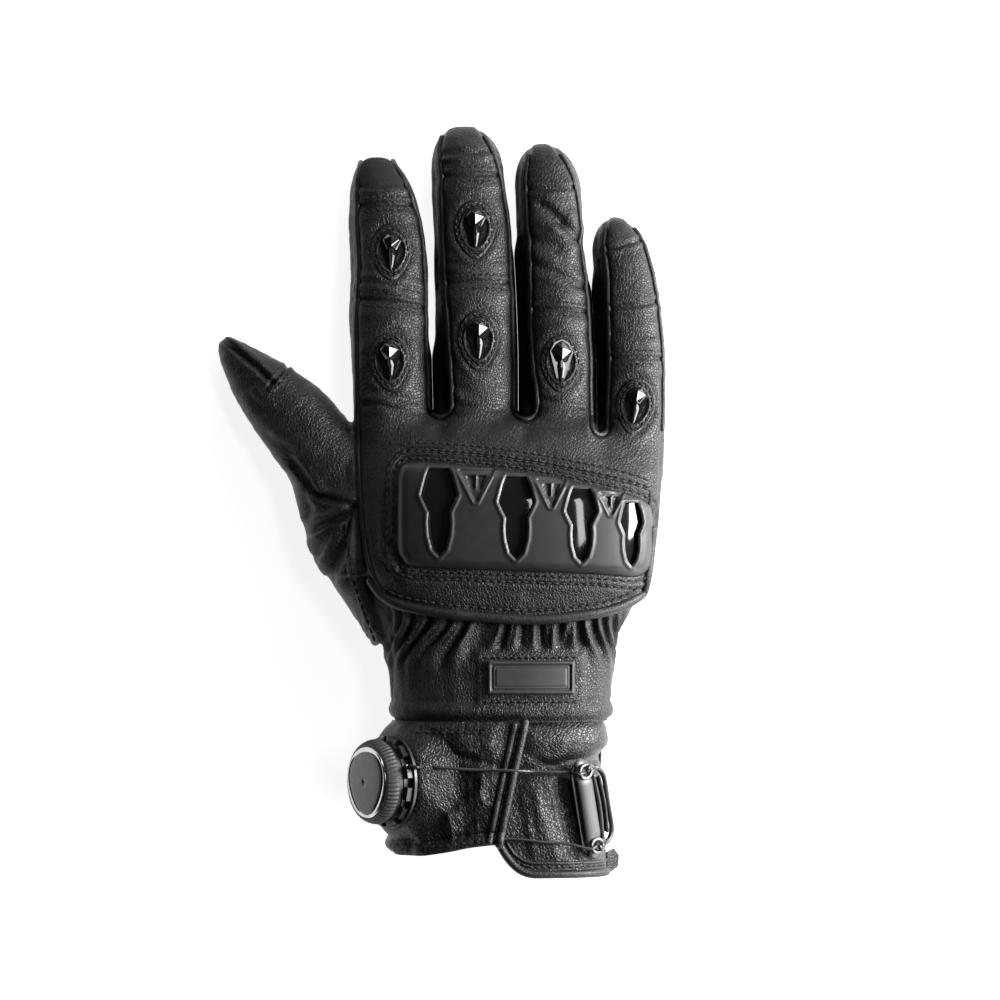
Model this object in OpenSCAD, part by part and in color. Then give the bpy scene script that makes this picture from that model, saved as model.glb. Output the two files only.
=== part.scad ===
// Right-hand motorcycle glove, lying on its palm: leather shell, knuckle and finger armour,
// elasticated wrist and a dial-and-lace cuff. +Y runs to the fingertips, +Z is the back of the hand.

/* [Hand] */
// Thickness of the leather shell with its bonded lining
shell_t = 1.8; // [1.4:0.1:2.0]
// Height of the back of the hand over the surface it lies on
hand_h = 43; // [41:0.5:45]
// Squareness of the hand's cross-section, where 2 is an ellipse
hand_square = 2.5; // [2.3:0.1:2.7]

/* [Fingers] */
// Height of a finger at its root
finger_h = 25; // [24:0.5:26]
// Squareness of a finger's cross-section
finger_square = 2.3; // [2.1:0.1:2.5]
// Greatest bend at a finger's root, in degrees
root_bend = 60; // [40:5:60]
// Greatest bend at a finger's middle joint
mid_bend = 75; // [50:5:75]
// Greatest bend at a fingertip joint
tip_bend = 45; // [30:5:45]

/* [Closure] */
// Diameter of the dial's grip
dial_d = 27.4; // [26:0.2:28]
// Tilt of the dial from straight up, towards the thumb side
dial_tilt = 57; // [54:1:60]
// How far the dial pulls out to let the lace go
dial_pull = 2; // [1.6:0.1:2.2]
// Diameter of the coated steel lace
lace_d = 1; // [0.8:0.1:1.1]

/* [Hidden] */
$fn = 64;
gap = 0.3;
leather = "#1b1b1c";
rubber = "#262627";
gloss = "#0c0c0d";
metal = "#8d9094";

// Edges of the hand's cross-section against Y: thumb side, outer side, underside and back
left_edge = [[-123, -17], [-95, -16.5], [-72, -15.5], [-56, -15.5], [-45, -17.5], [-32, -24], [-19, -28.5],
    [0, -29], [14, -29], [27, -28]];
right_edge = [[-123, 56], [-95, 54.5], [-72, 55], [-56, 56], [-45, 58.5], [-32, 64], [-19, 69.5], [0, 72],
    [14, 72.6], [27, 72.6]];
under_edge = [[-123, 0.6], [-95, 1.5], [-72, 3], [-56, 4], [-40, 3], [-28, 2], [0, 2], [14, 3], [27, 4]];
back_edge = [[-123, 45], [-95, 44], [-72, 42], [-56, 40.5], [-40, 41.5], [-19, hand_h], [0, hand_h - 1],
    [14, 37], [27, 30.5]];

// Stations of the glove along Y
root_end_y = -38.5;
cuff_start_y = -50.5;
wrist_seam_y = -71.5;
flap_end_y = -117;
tongue_end_y = -123.5;

// A finger: X at its root and tip, half width, height share, then Y of its root, middle and tip joints and tip
index = [-15.3, -17.7, 11.6, 1.0, 31, 67, 95, 111.5];
middle = [11.2, 8.7, 12.2, 1.0, 31, 70.5, 103, 123.5];
ring = [38.2, 35.6, 11.4, 0.98, 31, 62, 87, 117];
little = [62, 60.3, 10, 0.86, 28, 48, 67, 93];

// The thumb lies along its own axis, turned from +Y towards -X
thumb_turn = 36.5;
thumb_origin = [-26, -8, 2];
thumb_len = 71.6;
thumb_joint_1 = 29;
thumb_joint_2 = 51;

function signed_pow(v, p) = sign(v) * pow(abs(v), p);
function span(a, b, n) = [for (i = [0:n]) a + (b - a) * i / n];

// A point of the hand's cross-section at y, at angle t from the outer side, offset outwards by d
function section(y, t, d = 0) =
    let (l = lookup(y, left_edge), r = lookup(y, right_edge), u = lookup(y, under_edge), k = lookup(y, back_edge))
    [(l + r) / 2 + ((r - l) / 2 + d) * signed_pow(cos(t), 2 / hand_square), y,
     (u + k) / 2 + ((k - u) / 2 + d) * signed_pow(sin(t), 2 / hand_square)];

// The curve of the back panel's rolled hem: its Y against X, and against the angle round the hand
hem_edge = [[-24, -24], [-19, -31], [-12, -34.5], [8, -37.5], [30, -38.8], [52, -36.5], [62, -33], [68, -28.5]];
function hem_y(t) = lookup(section(-35, t)[0], hem_edge);

// The front edges of the hand's panels, just short of the fingers' joints; the little finger's is further back
function front_y(t) = lookup(section(27, t)[0], [[48, 30.7], [50.4, 27.7]]);
function palm_front_y(t) = lookup(section(27, t)[0], [[48, 24.9], [50.4, 22.4]]);

// A panel's points between two curves of Y against angle, a low and a high one
function curved_grid(lo, hi, ts, d, n) = [for (i = [0:n]) [for (t = ts)
    section(lo(t) + (hi(t) - lo(t)) * i / n, t, d)]];

function grid(ys, ts, d) = [for (y = ys) [for (t = ts) section(y, t, d)]];
function flat(grid) = [for (row = grid) for (p = row) p];

// Two triangles for each cell of an m by n grid of points that starts at index k
function cells(m, n, k, wrap) = [
    for (i = [0:m - 2]) for (j = [0:(wrap ? n - 1 : n - 2)])
        let (a = k + i * n + j, b = k + i * n + (j + 1) % n, c = a + n, d = b + n)
        each [[a, b, d], [a, d, c]]
];
function flipped(faces) = [for (f = faces) [f[0], f[2], f[1]]];

// The faces that join edge points p of the outer grid to the same points of the inner grid, offset by s
function rim(p, s, wrap) = [
    for (j = [0:(wrap ? len(p) - 1 : len(p) - 2)])
        let (a = p[j], b = p[(j + 1) % len(p)]) each [[a, a + s, b + s], [a, b + s, b]]
];
function fan(p) = [for (j = [1:len(p) - 2]) [p[0], p[j], p[j + 1]]];

// A panel: the closed solid between two grids of the same size
module panel(outer, inner) {
    m = len(outer);
    n = len(outer[0]);
    s = m * n;
    first = [for (j = [0:n - 1]) j];
    last = [for (j = [n - 1:-1:0]) (m - 1) * n + j];
    low = [for (i = [m - 1:-1:0]) i * n];
    high = [for (i = [0:m - 1]) i * n + n - 1];
    polyhedron(
        points = concat(flat(outer), flat(inner)),
        faces = concat(cells(m, n, 0, false), flipped(cells(m, n, s, false)),
            rim(first, s, false), rim(high, s, false), rim(last, s, false), rim(low, s, false)));
}

// A stall: a tube between two stacks of rings, open at its first ring, and closed at the last if tip is true
module stall(outer, inner, tip = false) {
    m = len(outer);
    mi = len(inner);
    n = len(outer[0]);
    s = m * n;
    first = [for (j = [0:n - 1]) j];
    last = [for (j = [n - 1:-1:0]) (m - 1) * n + j];
    outer_end = [for (j = [0:n - 1]) (m - 1) * n + j];
    inner_end = [for (j = [n - 1:-1:0]) s + (mi - 1) * n + j];
    polyhedron(
        points = concat(flat(outer), flat(inner)),
        faces = concat(cells(m, n, 0, true), flipped(cells(mi, n, s, true)), rim(first, s, true),
            tip ? concat(fan(outer_end), fan(inner_end)) : rim(last, s, true)));
}

// A flat-sided panel on the hand's section between two stations and two angles
module hand_panel(y0, y1, t0, t1, d_out, d_in, steps = 8, around = 16) {
    ys = span(y0, y1, steps);
    ts = span(t0, t1, around);
    panel(grid(ys, ts, d_out), grid(ys, ts, d_in));
}

/* Hand */
module curved_panel(lo, hi, t0, t1, d_out, d_in, n = 6, around = 20) {
    ts = span(t0, t1, around);
    panel(curved_grid(lo, hi, ts, d_out, n), curved_grid(lo, hi, ts, d_in, n));
}
module hand_back() color(leather)
    curved_panel(function (t) hem_y(t), function (t) front_y(t), 6, 166, 0, -shell_t, 8);
module palm_panel() color(leather)
    curved_panel(function (t) root_end_y, function (t) palm_front_y(t), 206, 364.5, 0, -shell_t, 8);
module thumb_gusset() color("#1c181c") hand_panel(root_end_y, -17, 167.5, 204.5, 0, -shell_t, 3, 4);
module hand_lining() color("#232325") {
    curved_panel(function (t) hem_y(t) + 2, function (t) front_y(t) - 2, 12, 160, -shell_t - 0.4, -shell_t - 1.1, 8, 20);
    curved_panel(function (t) root_end_y + 1, function (t) palm_front_y(t) - 2, 212, 356, -shell_t - 0.4, -shell_t - 1.1, 8, 20);
}

// The rolled lower edge of the back panel, which laps over the gathered wrist
module back_hem() color(leather)
    curved_panel(function (t) hem_y(t) - 1, function (t) hem_y(t) + 3.4, 8, 166, 2.4, 0.2, 2);

/* Knuckle armour */
guard_top = [[-14, 9], [-12.6, 12], [-9, 13.2], [10, 12], [30, 9.4], [50, 5.4], [62, 2.6], [66.5, 0.6], [68.8, -3.5]];
guard_bottom = [[-14, -14], [-12.4, -18.6], [-8, -21], [20, -22.2], [50, -23.4], [62, -24.4], [66.6, -23], [68.8, -18]];

module guard_outline(inset = 0) {
    k = (82.8 - 2 * inset) / 82.8;
    function pulled(p) = [27.4 + (p[0] - 27.4) * k, p[1]];
    polygon(concat([for (p = guard_top) pulled(p) - [0, inset]],
        [for (i = [len(guard_bottom) - 1:-1:0]) pulled(guard_bottom[i]) + [0, inset]]));
}

// The windows: centre X, half width of the six-sided head, Y of the head's top and of the slot's point
guard_windows = [[-0.5, 5.6, 11, -17], [24.6, 5.6, 8, -18.4], [45.9, 4.9, 4.2, -19.3], [62, 3.6, -0.4, -20.4]];
module window_outline(w) {
    h = w[1];
    head = (w[2] - w[3]) * 0.52;
    translate([w[0], w[2]]) polygon([[-h * 0.62, 0], [h * 0.62, 0], [h, -head * 0.42], [h * 0.5, -head],
        [h * 0.5, w[3] - w[2] + h * 0.7], [0, w[3] - w[2]], [-h * 0.5, w[3] - w[2] + h * 0.7],
        [-h * 0.5, -head], [-h, -head * 0.42]]);
}

// The recesses between the windows: centre X, half width, Y of the top and of the apex
guard_recesses = [[11.4, 6.4, 10.4, -0.4], [35.9, 5, 7, -2], [55, 4, 2.8, -4.6]];

module over_knuckles(d_out, d_in, inset) intersection() {
    hand_panel(-26, 15, 14, 160, d_out, d_in, 8, 24);
    linear_extrude(height = 80) guard_outline(inset);
}

module knuckle_guard() color(rubber) difference() {
    over_knuckles(4.4, 2.7, 0);
    for (w = guard_windows) translate([0, 0, 20]) linear_extrude(height = 40) window_outline(w);
    intersection() {
        hand_panel(-26, 15, 14, 160, 8, 3.8, 8, 24);
        for (r = guard_recesses) translate([r[0], r[2], 20]) linear_extrude(height = 40)
            polygon([[-r[1], 0], [0, r[3] - r[2]], [r[1], 0]]);
    }
}
module knuckle_shell() color(gloss) over_knuckles(2.4, 1.2, 1.5);
module knuckle_foam() color("#3a3a3c") over_knuckles(1.1, 0.3, 3);

/* Palm armour */
slider_r = 8.5;
palm_slider_xy = [[-4, -20], [46, -22]];
module palm_slider(i) color(gloss) translate(palm_slider_xy[i]) {
    cylinder(r = slider_r, h = 1.4);
    translate([0, 0, 1.4]) cylinder(r1 = slider_r, r2 = slider_r - 2, h = 0.4);
}
module palm_slider_thumb_side() palm_slider(0);
module palm_slider_outer_side() palm_slider(1);
module palm_patch() color("#202021") translate([21, 4, 0.9]) linear_extrude(height = 0.9)
    hull() for (x = [-22, 22]) for (y = [-4, 4]) translate([x, y]) circle(r = 6, $fn = 24);

/* Fingers */
joint_share = 0.36; // height of a joint's axis over the finger's underside, as a share of its height
joint_gap = 0.5;
function finger_x(f, y) = f[0] + (f[1] - f[0]) * (y - f[4]) / (f[7] - f[4]);
function finger_half_h(f, y) = f[3] * lookup((y - f[4]) / (f[7] - f[4]),
    [[-0.1, finger_h / 2], [0.35, finger_h * 0.45], [0.75, finger_h * 0.37], [1, finger_h * 0.33]]);
function finger_half_w(f, y) = f[2] * lookup((y - f[4]) / (f[7] - f[4]),
    [[-0.1, 1], [0.4, 0.97], [0.75, 0.89], [1, 0.8]]);
function finger_under(f, y) = lookup((y - f[4]) / (f[7] - f[4]), [[-0.1, 4], [0.5, 1.5], [1, 0.4]]);

// The rounding of the tip: 1 along the finger, falling to 0 at its end
dome_len = 9;
function dome(f, y) = y < f[7] - dome_len ? 1 : sqrt(max(0.02, 1 - pow((y - f[7] + dome_len) / dome_len, 2)));

function joint_z(f, y) = finger_under(f, y) + 2 * joint_share * finger_half_h(f, y);

// How far a wall below the joint's axis is cut back so that the finger can bend there
function relief(f, joint_y, z, bend) =
    joint_gap + max(0, joint_z(f, joint_y) - z + 0.4) * tan(bend / 2);

// One ring of a stall at y, offset by d; its points are cut back from the joints at both ends
function finger_ring(f, y, d, y0, bend0, y1, bend1) = [
    for (j = [0:15])
        let (t = 360 * j / 16, k = dome(f, y), h = finger_half_h(f, y), w = finger_half_w(f, y),
            z = finger_under(f, y) + h + (h * k + d) * signed_pow(sin(t), 2 / finger_square),
            lo = bend0 > 0 ? y0 + relief(f, y0, z, bend0) : y0,
            hi = bend1 > 0 ? y1 - relief(f, y1, z, bend1) : y1,
            s = (y - y0) / (y1 - y0))
        [finger_x(f, y) + (w * k + d) * signed_pow(cos(t), 2 / finger_square), lo + (hi - lo) * s, z]
];

module finger_part(f, y0, bend0, y1, bend1) {
    ys = span(y0, y1, 3);
    stall([for (y = ys) finger_ring(f, y, 0, y0, bend0, y1, bend1)],
        [for (y = ys) finger_ring(f, y, -shell_t, y0, bend0, y1, bend1)]);
}
module finger_end(f, y0, bend0, y1) {
    ys = concat(span(y0, y1 - dome_len, 2), [for (a = [25, 45, 65, 88]) y1 - dome_len + dome_len * sin(a)]);
    inner_ys = concat(span(y0, y1 - dome_len, 2), [for (a = [25, 45]) y1 - dome_len + dome_len * sin(a)]);
    stall([for (y = ys) finger_ring(f, y, 0, y0, bend0, y1, 0)],
        [for (y = inner_ys) finger_ring(f, y, -shell_t, y0, bend0, y1, 0)], true);
}
module finger_base(f) color(leather) finger_part(f, f[4], root_bend, f[5], mid_bend);
module finger_middle(f) color(leather) finger_part(f, f[5], mid_bend, f[6], tip_bend);
module finger_tip(f) color(leather) finger_end(f, f[6], tip_bend, f[7]);

/* Finger armour: a faceted head that runs into a long drop */
module stud(f, x, y, len, w) {
    function top(y) = finger_under(f, y) + 2 * finger_half_h(f, y);
    color(gloss) translate([x, y, top(y) + 0.25]) rotate([atan((top(y + 6) - top(y - 6)) / 12), 0, 0]) {
        hull() {
            translate([0, len * 0.24, 0]) cylinder(r = w / 2, h = 0.4, $fn = 6);
            translate([0, len * 0.26, 0]) cylinder(r = w / 5, h = 2.8, $fn = 6);
        }
        hull() {
            translate([0, len * 0.05, 0]) cylinder(r = w * 0.3, h = 0.4, $fn = 16);
            translate([0, -len * 0.44, 0]) cylinder(r = 0.5, h = 0.4, $fn = 16);
            translate([0, -len * 0.2, 0]) cylinder(r = 0.6, h = 1.9, $fn = 16);
            translate([0, len * 0.14, 0]) cylinder(r = 0.8, h = 2.4, $fn = 16);
        }
    }
}

/* Thumb, in its own frame: the same rings as a finger, laid along +Y and then turned */
thumb = [0.6, 0.6, 12.4, 0.98, 0, thumb_joint_1, thumb_joint_2, thumb_len];
module at_thumb() translate(thumb_origin) rotate([0, 0, thumb_turn]) translate([0, 0, -2]) children();

// Y in the thumb's frame at which a point at x across it meets the hand's side, drawn as a plane
saddle_plane_x = -29.6;
function saddle_y(x) = (thumb_origin[0] + x * cos(thumb_turn) - saddle_plane_x) / sin(thumb_turn);
thumb_root_bend = 40;
thumb_tip_bend = 60;
function saddle_ring(s, d) = [
    for (p = finger_ring(thumb, thumb_joint_1 * 0.6, d, 0, 0, thumb_joint_1, 0))
        let (flare = 1 + (p[0] < 0 ? 0.42 : 0.03) * pow(1 - s, 2), x = p[0] * flare, from = saddle_y(p[0] * (p[0] < 0 ? 1.42 : 1.03)),
            to = thumb_joint_1 - relief(thumb, thumb_joint_1, p[2], thumb_root_bend))
        [x, from + (to - from) * s, p[2] + (p[0] < 0 ? -0.02 : 0.3) * p[0] * pow(1 - s, 2) * 0.3]
];
module thumb_saddle() color(leather) at_thumb() stall(
    [for (s = span(0, 1, 3)) saddle_ring(s, 0)], [for (s = span(0, 1, 3)) saddle_ring(s, -shell_t)]);
module thumb_base() color(leather) at_thumb()
    finger_part(thumb, thumb_joint_1, thumb_root_bend, thumb_joint_2, thumb_tip_bend);
module thumb_tip() color(leather) at_thumb() finger_end(thumb, thumb_joint_2, thumb_tip_bend, thumb_len);

/* Wrist */
module wrist_gather() color(leather)
    curved_panel(function (t) cuff_start_y + 0.4, function (t) hem_y(t) - 0.4, 8, 166, -0.2, -shell_t, 4, 16);
module wrist_elastic() color("#303033")
    hand_panel(cuff_start_y + 2, root_end_y - 2, 25, 155, -shell_t - gap, -shell_t - 1.2, 2, 12);
module wrist_palm_gather() color(leather)
    hand_panel(cuff_start_y + 0.4, root_end_y - 0.4, 168, 366, -0.2, -shell_t, 3, 20);
module wrist_band() color(leather) {
    hand_panel(wrist_seam_y, cuff_start_y, 2, 178, 0.8, -shell_t + 0.8, 4, 20);
    hand_panel(wrist_seam_y, cuff_start_y, 180.5, 359.5, 0, -shell_t, 4, 20);
}
module wrist_badge() color(rubber) intersection() {
    hand_panel(-66, -47, 40, 140, 3.2, 1.1, 2, 16);
    translate([30, -57.5, 20]) linear_extrude(height = 40) square([30, 12.6], center = true);
}

/* Cuff: an inner tongue on the outer side, and a flap from the thumb side that laps over it */
tongue_d = -1.2;
flap_d = 2.4;
module cuff_tongue() color(leather)
    hand_panel(tongue_end_y + 2.2, wrist_seam_y - gap, -14, 106, tongue_d, tongue_d - shell_t, 5, 16);
module tongue_binding() color(leather)
    hand_panel(tongue_end_y, tongue_end_y + 2, -14, 100, tongue_d + 0.4, tongue_d - shell_t - 0.4, 1, 16);
module cuff_palm() color(leather)
    hand_panel(flap_end_y, wrist_seam_y - gap, 196, 345, tongue_d, tongue_d - shell_t, 5, 18);
module cuff_flap() color(leather) difference() {
    hand_panel(flap_end_y, wrist_seam_y - gap, 90, 184, flap_d, flap_d - shell_t, 5, 14);
    at_dial() translate([lace_hole[0], lace_hole[1], -4]) cylinder(r = 1.3, h = 8, $fn = 24);
}
module flap_binding() color(leather)
    hand_panel(flap_end_y, wrist_seam_y - gap, 86, 89.6, flap_d + 0.4, flap_d - shell_t - 0.2, 5, 1);
module cuff_lining() color("#232325") {
    hand_panel(flap_end_y + 2, wrist_seam_y - 2, -10, 102, tongue_d - shell_t - gap, tongue_d - shell_t - 1, 4, 12);
    hand_panel(flap_end_y + 2, wrist_seam_y - 2, 200, 341, tongue_d - shell_t - gap, tongue_d - shell_t - 1, 4, 12);
}
module pull_tab() color(rubber) hand_panel(-120.9, -114.6, 2, 14, tongue_d + 1.7, tongue_d + 0.3, 2, 6);

/* Dial, about its own axis */
dial_y = -90.5;
dial_at = section(dial_y, 152, flap_d);
grip_r = dial_d / 2;
module at_dial() translate(dial_at) rotate([0, -dial_tilt, 0]) children();

lace_hole = [4.4, -8.6]; // where the lower run of the lace goes down through the base and the flap
module dial_base() color(gloss) at_dial() difference() {
    union() {
        translate([0, 0, 1.3]) cylinder(r = 13, h = 2.9);
        translate([0, 0, 0.8]) cylinder(r = 15.5, h = 0.9);
        for (i = [0:11]) rotate([0, 0, 30 * i + 15]) translate([13.4, 0, 2.7]) cube([2.4, 4.4, 2.3], center = true);
    }
    translate([0, 0, 1.9]) cylinder(r = 7.4, h = 3);
    translate([0, 0, 0]) cylinder(r = 1.55, h = 3);
    rotate([0, 0, 20]) translate([5, 0, 2.7]) rotate([0, 90, 0]) cylinder(r = 0.95, h = 12, $fn = 24);
    translate([lace_hole[0], lace_hole[1], 0]) cylinder(r = 0.9, h = 3.2, $fn = 24);
}
module dial_ratchet() color(rubber) at_dial() difference() {
    translate([0, 0, 4.3]) cylinder(r = 12.6, h = 1.5);
    translate([0, 0, 4.2]) linear_extrude(height = 2)
        polygon([for (i = [0:71]) let (r = i % 2 == 0 ? 10.4 : 11.2) [r * cos(5 * i), r * sin(5 * i)]]);
}
module dial_axle() color(metal) at_dial() {
    translate([0, 0, 1]) cylinder(r = 1.5, h = 9);
    translate([0, 0, 0.2]) cylinder(r = 3.2, h = 0.6);
    translate([0, 0, 0.2]) cylinder(r = 1.5, h = 1);
}
module dial_spool() color(rubber) at_dial() difference() {
    union() {
        translate([0, 0, 2]) cylinder(r = 5, h = 3.4);
        translate([0, 0, 2]) cylinder(r = 7, h = 0.5);
        translate([0, 0, 3.3]) cylinder(r = 7, h = 0.6);
        translate([0, 0, 5.2]) cylinder(r = 4.2, h = 0.6);
    }
    translate([0, 0, 1]) cylinder(r = 1.55, h = 8);
}
module dial_core() color(rubber) at_dial() difference() {
    union() {
        translate([0, 0, 6.1]) cylinder(r = 4.2, h = 1.2);
        translate([0, 0, 7.3]) cylinder(r = 3, h = 2.6);
    }
    translate([0, 0, 5]) cylinder(r = 1.55, h = 8);
}
module dial_knob() color(rubber) at_dial() difference() {
    translate([0, 0, 6.1]) cylinder(r = grip_r - 1.2, h = 5.4);
    translate([0, 0, 6]) cylinder(r = 10.4, h = 1.6);
    translate([0, 0, 7]) cylinder(r = 3.1, h = 3.2);
    translate([0, 0, 6]) cylinder(r = 4.4, h = 1.6);
    translate([0, 0, 10.9]) cylinder(r = 9.2, h = 1);
}
grip_ribs = 40;
module dial_grip() color(rubber) at_dial() translate([0, 0, 6.1]) difference() {
    linear_extrude(height = 5.4) polygon([for (i = [0:4 * grip_ribs - 1])
        let (a = 90 * i / grip_ribs, r = grip_r - (i % 4 < 2 ? 0 : 0.55)) [r * cos(a), r * sin(a)]]);
    translate([0, 0, -1]) cylinder(r = grip_r - 1.15, h = 8);
}

// A triangle with bowed sides and round corners, for the dial's cap
function bowed(r, k) = [for (a = [0:5:355]) let (q = r * (1 + k * cos(3 * a))) [q * cos(a), q * sin(a)]];
module dial_trim() color(metal) at_dial() translate([0, 0, 10.95]) difference() {
    cylinder(r = 9.1, h = 1);
    translate([0, 0, -1]) linear_extrude(height = 3) polygon(bowed(7.5, 0.1));
}
module dial_insert() color(gloss) at_dial() translate([0, 0, 10.95]) linear_extrude(height = 0.8)
    polygon(bowed(7.4, 0.1));

/* Lace guide on the outer side of the cuff: a padded bar with a channel, a ring at each end and a hooked frame */
guide_y = -100;
guide_at = section(guide_y, 34, tongue_d + 0.7);
guide_tilt = 43.5;
guide_slant = 9;
guide_len = 33;
bar_len = 21.8;
loop_y = 14;
channel_z = 1.95;
module at_guide() translate(guide_at) rotate([0, guide_tilt, 0]) rotate([0, 0, guide_slant]) children();

module lace_guide() color(rubber) at_guide() difference() {
    union() {
        translate([-5.5, -guide_len / 2, 0.5]) cube([9.9, guide_len, 0.5]);
        translate([-4.4, -bar_len / 2, 0.9]) cube([6, bar_len, 2.4]);
    }
    translate([-1.4, -bar_len / 2 - 1, channel_z]) rotate([-90, 0, 0]) cylinder(r = 0.8, h = bar_len + 2, $fn = 24);
}
module guide_loops() color(metal) at_guide() for (s = [-1, 1])
    translate([-1.4, s * loop_y, channel_z + 1.15]) rotate_extrude($fn = 48) translate([2.4, 0]) circle(r = 0.55, $fn = 16);
module guide_plate() color(gloss) at_guide() translate([0, 0, 1.1]) linear_extrude(height = 1.5) difference() {
    polygon([[2, -12.5], [4, -14], [7.4, -10], [7.4, 10], [4, 14], [2, 12.5]]);
    polygon([[3.3, -11], [4, -11.6], [6, -9.2], [6, 9.2], [4, 11.6], [3.3, 11]]);
}

/* Lace: out of the dial, over the flap and tongue, through the guide, and back under the flap into the dial */
function turned(p, a) = [p[0] * cos(a) + p[2] * sin(a), p[1], -p[0] * sin(a) + p[2] * cos(a)];
function slanted(p, a) = [p[0] * cos(a) - p[1] * sin(a), p[0] * sin(a) + p[1] * cos(a), p[2]];
function dial_point(p) = dial_at + turned(p, -dial_tilt);
function guide_point(p) = guide_at + turned(slanted(p, guide_slant), guide_tilt);
lace_over = flap_d + lace_d / 2 + 0.75;
lace_under = tongue_d + 0.9;
ring_z = channel_z + 1.15;
lace_knots = concat(
    [for (r = [7.6, 10.5, 13.2]) dial_point([r * cos(20), r * sin(20), 2.7])],
    [dial_point([15.6, 5.5, 2.8]), dial_point([17.4, 5.2, 1])],
    [for (t = [120, 108, 96]) section(-85.4 - (120 - t) * 0.04, t, lace_over)],
    [section(-86.6, 86, lace_over - 0.3), section(-87, 77, tongue_d + 1.9)],
    [section(-87.2, 66, tongue_d + 1.6), section(-87.4, 56, tongue_d + 2)],
    [guide_point([-5.7, loop_y + 0.2, ring_z + 0.5]), guide_point([-3.7, loop_y, ring_z + 1.2]),
        guide_point([-1.6, loop_y - 0.2, ring_z + 0.1]), guide_point([-1.4, loop_y - 2.2, channel_z])],
    [for (y = [8, 0, -8]) guide_point([-1.4, y, channel_z])],
    [guide_point([-1.4, 2.2 - loop_y, channel_z]), guide_point([-1.6, 0.2 - loop_y, ring_z + 0.1]),
        guide_point([-3.7, -loop_y, ring_z + 1.2]), guide_point([-5.7, -loop_y, ring_z + 0.5])],
    [section(-112.5, 58, tongue_d + 1.7), section(-112.4, 70, tongue_d + 1.1), section(-112.2, 80, lace_under)],
    [for (t = [90, 99, 108]) section(-112 + pow((t - 90) / 18, 2) * 2.4, t, lace_under)],
    [section(-107.4, 117, lace_under - 0.6), section(-104.4, 127, lace_under - 0.8), section(-101.6, 134, lace_under - 1)],
    [dial_point([lace_hole[0], lace_hole[1] - 1.6, -4.4]), dial_point([lace_hole[0], lace_hole[1], -2.6]),
        dial_point([lace_hole[0], lace_hole[1], 0.4]), dial_point([lace_hole[0], lace_hole[1], 1.6]),
        dial_point([lace_hole[0], lace_hole[1], 2.7])]);

// A smooth curve through the knots, n points to each span
function through(k, i, u) = let (m = len(k) - 1, a = k[max(0, i - 1)], b = k[i], c = k[min(m, i + 1)], d = k[min(m, i + 2)])
    b + 0.5 * u * ((c - a) + u * (2 * a - 5 * b + 4 * c - d + u * (3 * (b - c) + d - a)));
function curve(k, n) = concat([for (i = [0:len(k) - 2]) for (j = [0:n - 1]) through(k, i, j / n)], [k[len(k) - 1]]);

function unit(v) = v / norm(v);
function cord_ring(points, i, r) =
    let (a = points[max(0, i - 1)], b = points[min(len(points) - 1, i + 1)], w = unit(b - a),
        u = unit(cross(w, abs(w[1]) > 0.9 ? [1, 0, 0] : [0, 1, 0])), v = cross(u, w))
    [for (j = [0:7]) points[i] + r * (cos(45 * j) * u + sin(45 * j) * v)];
module cord(points, r) {
    m = len(points);
    rings = [for (i = [0:m - 1]) cord_ring(points, i, r)];
    polyhedron(points = flat(rings), faces = concat(cells(m, 8, 0, true),
        fan([for (j = [7:-1:0]) j]), fan([for (j = [0:7]) (m - 1) * 8 + j])));
}
lace_points = curve(lace_knots, 2);
module lace() color("#2c2c2e") cord(lace_points, lace_d / 2);

// The tube on the inside of the flap that takes the lower run of the lace up to the dial
sleeve_from = 58;
sleeve_to = 62;
module lace_sleeve() color("#3a3a3c") stall(
    [for (i = [sleeve_from:sleeve_to]) cord_ring(lace_points, i, 1)],
    [for (i = [sleeve_from:sleeve_to]) cord_ring(lace_points, i, 0.65)]);

hand_back();
palm_panel();
thumb_saddle();
thumb_gusset();
hand_lining();
back_hem();
knuckle_guard();
knuckle_shell();
knuckle_foam();
palm_slider_thumb_side();
palm_slider_outer_side();
palm_patch();
finger_base(index);  // index_base
finger_middle(index);  // index_middle
finger_tip(index);  // index_tip
finger_base(middle);  // middle_base
finger_middle(middle);  // middle_middle
finger_tip(middle);  // middle_tip
finger_base(ring);  // ring_base
finger_middle(ring);  // ring_middle
finger_tip(ring);  // ring_tip
finger_base(little);  // little_base
finger_middle(little);  // little_middle
finger_tip(little);  // little_tip
thumb_base();
thumb_tip();
stud(index, -16.3, 46.4, 16, 6.8);  // stud_index_base
stud(index, -16, 81.7, 15, 6.6);  // stud_index_middle
stud(middle, 12, 53, 16.5, 6.8);  // stud_middle_base
stud(middle, 11, 89.3, 16.5, 6.4);  // stud_middle_middle
stud(ring, 39, 45.4, 16, 6.8);  // stud_ring_base
stud(little, 62.6, 37, 15, 6.4);  // stud_little_base
wrist_gather();
wrist_elastic();
wrist_palm_gather();
wrist_band();
wrist_badge();
cuff_tongue();
cuff_palm();
cuff_flap();
cuff_lining();
tongue_binding();
flap_binding();
lace();
lace_sleeve();
lace_guide();
guide_loops();
guide_plate();
pull_tab();
dial_base();
dial_ratchet();
dial_axle();
dial_spool();
dial_core();
dial_knob();
dial_grip();
dial_trim();
dial_insert();
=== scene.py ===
import math
import bmesh
import bpy
import numpy as np
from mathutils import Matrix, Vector
from mathutils.bvhtree import BVHTree


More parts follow.
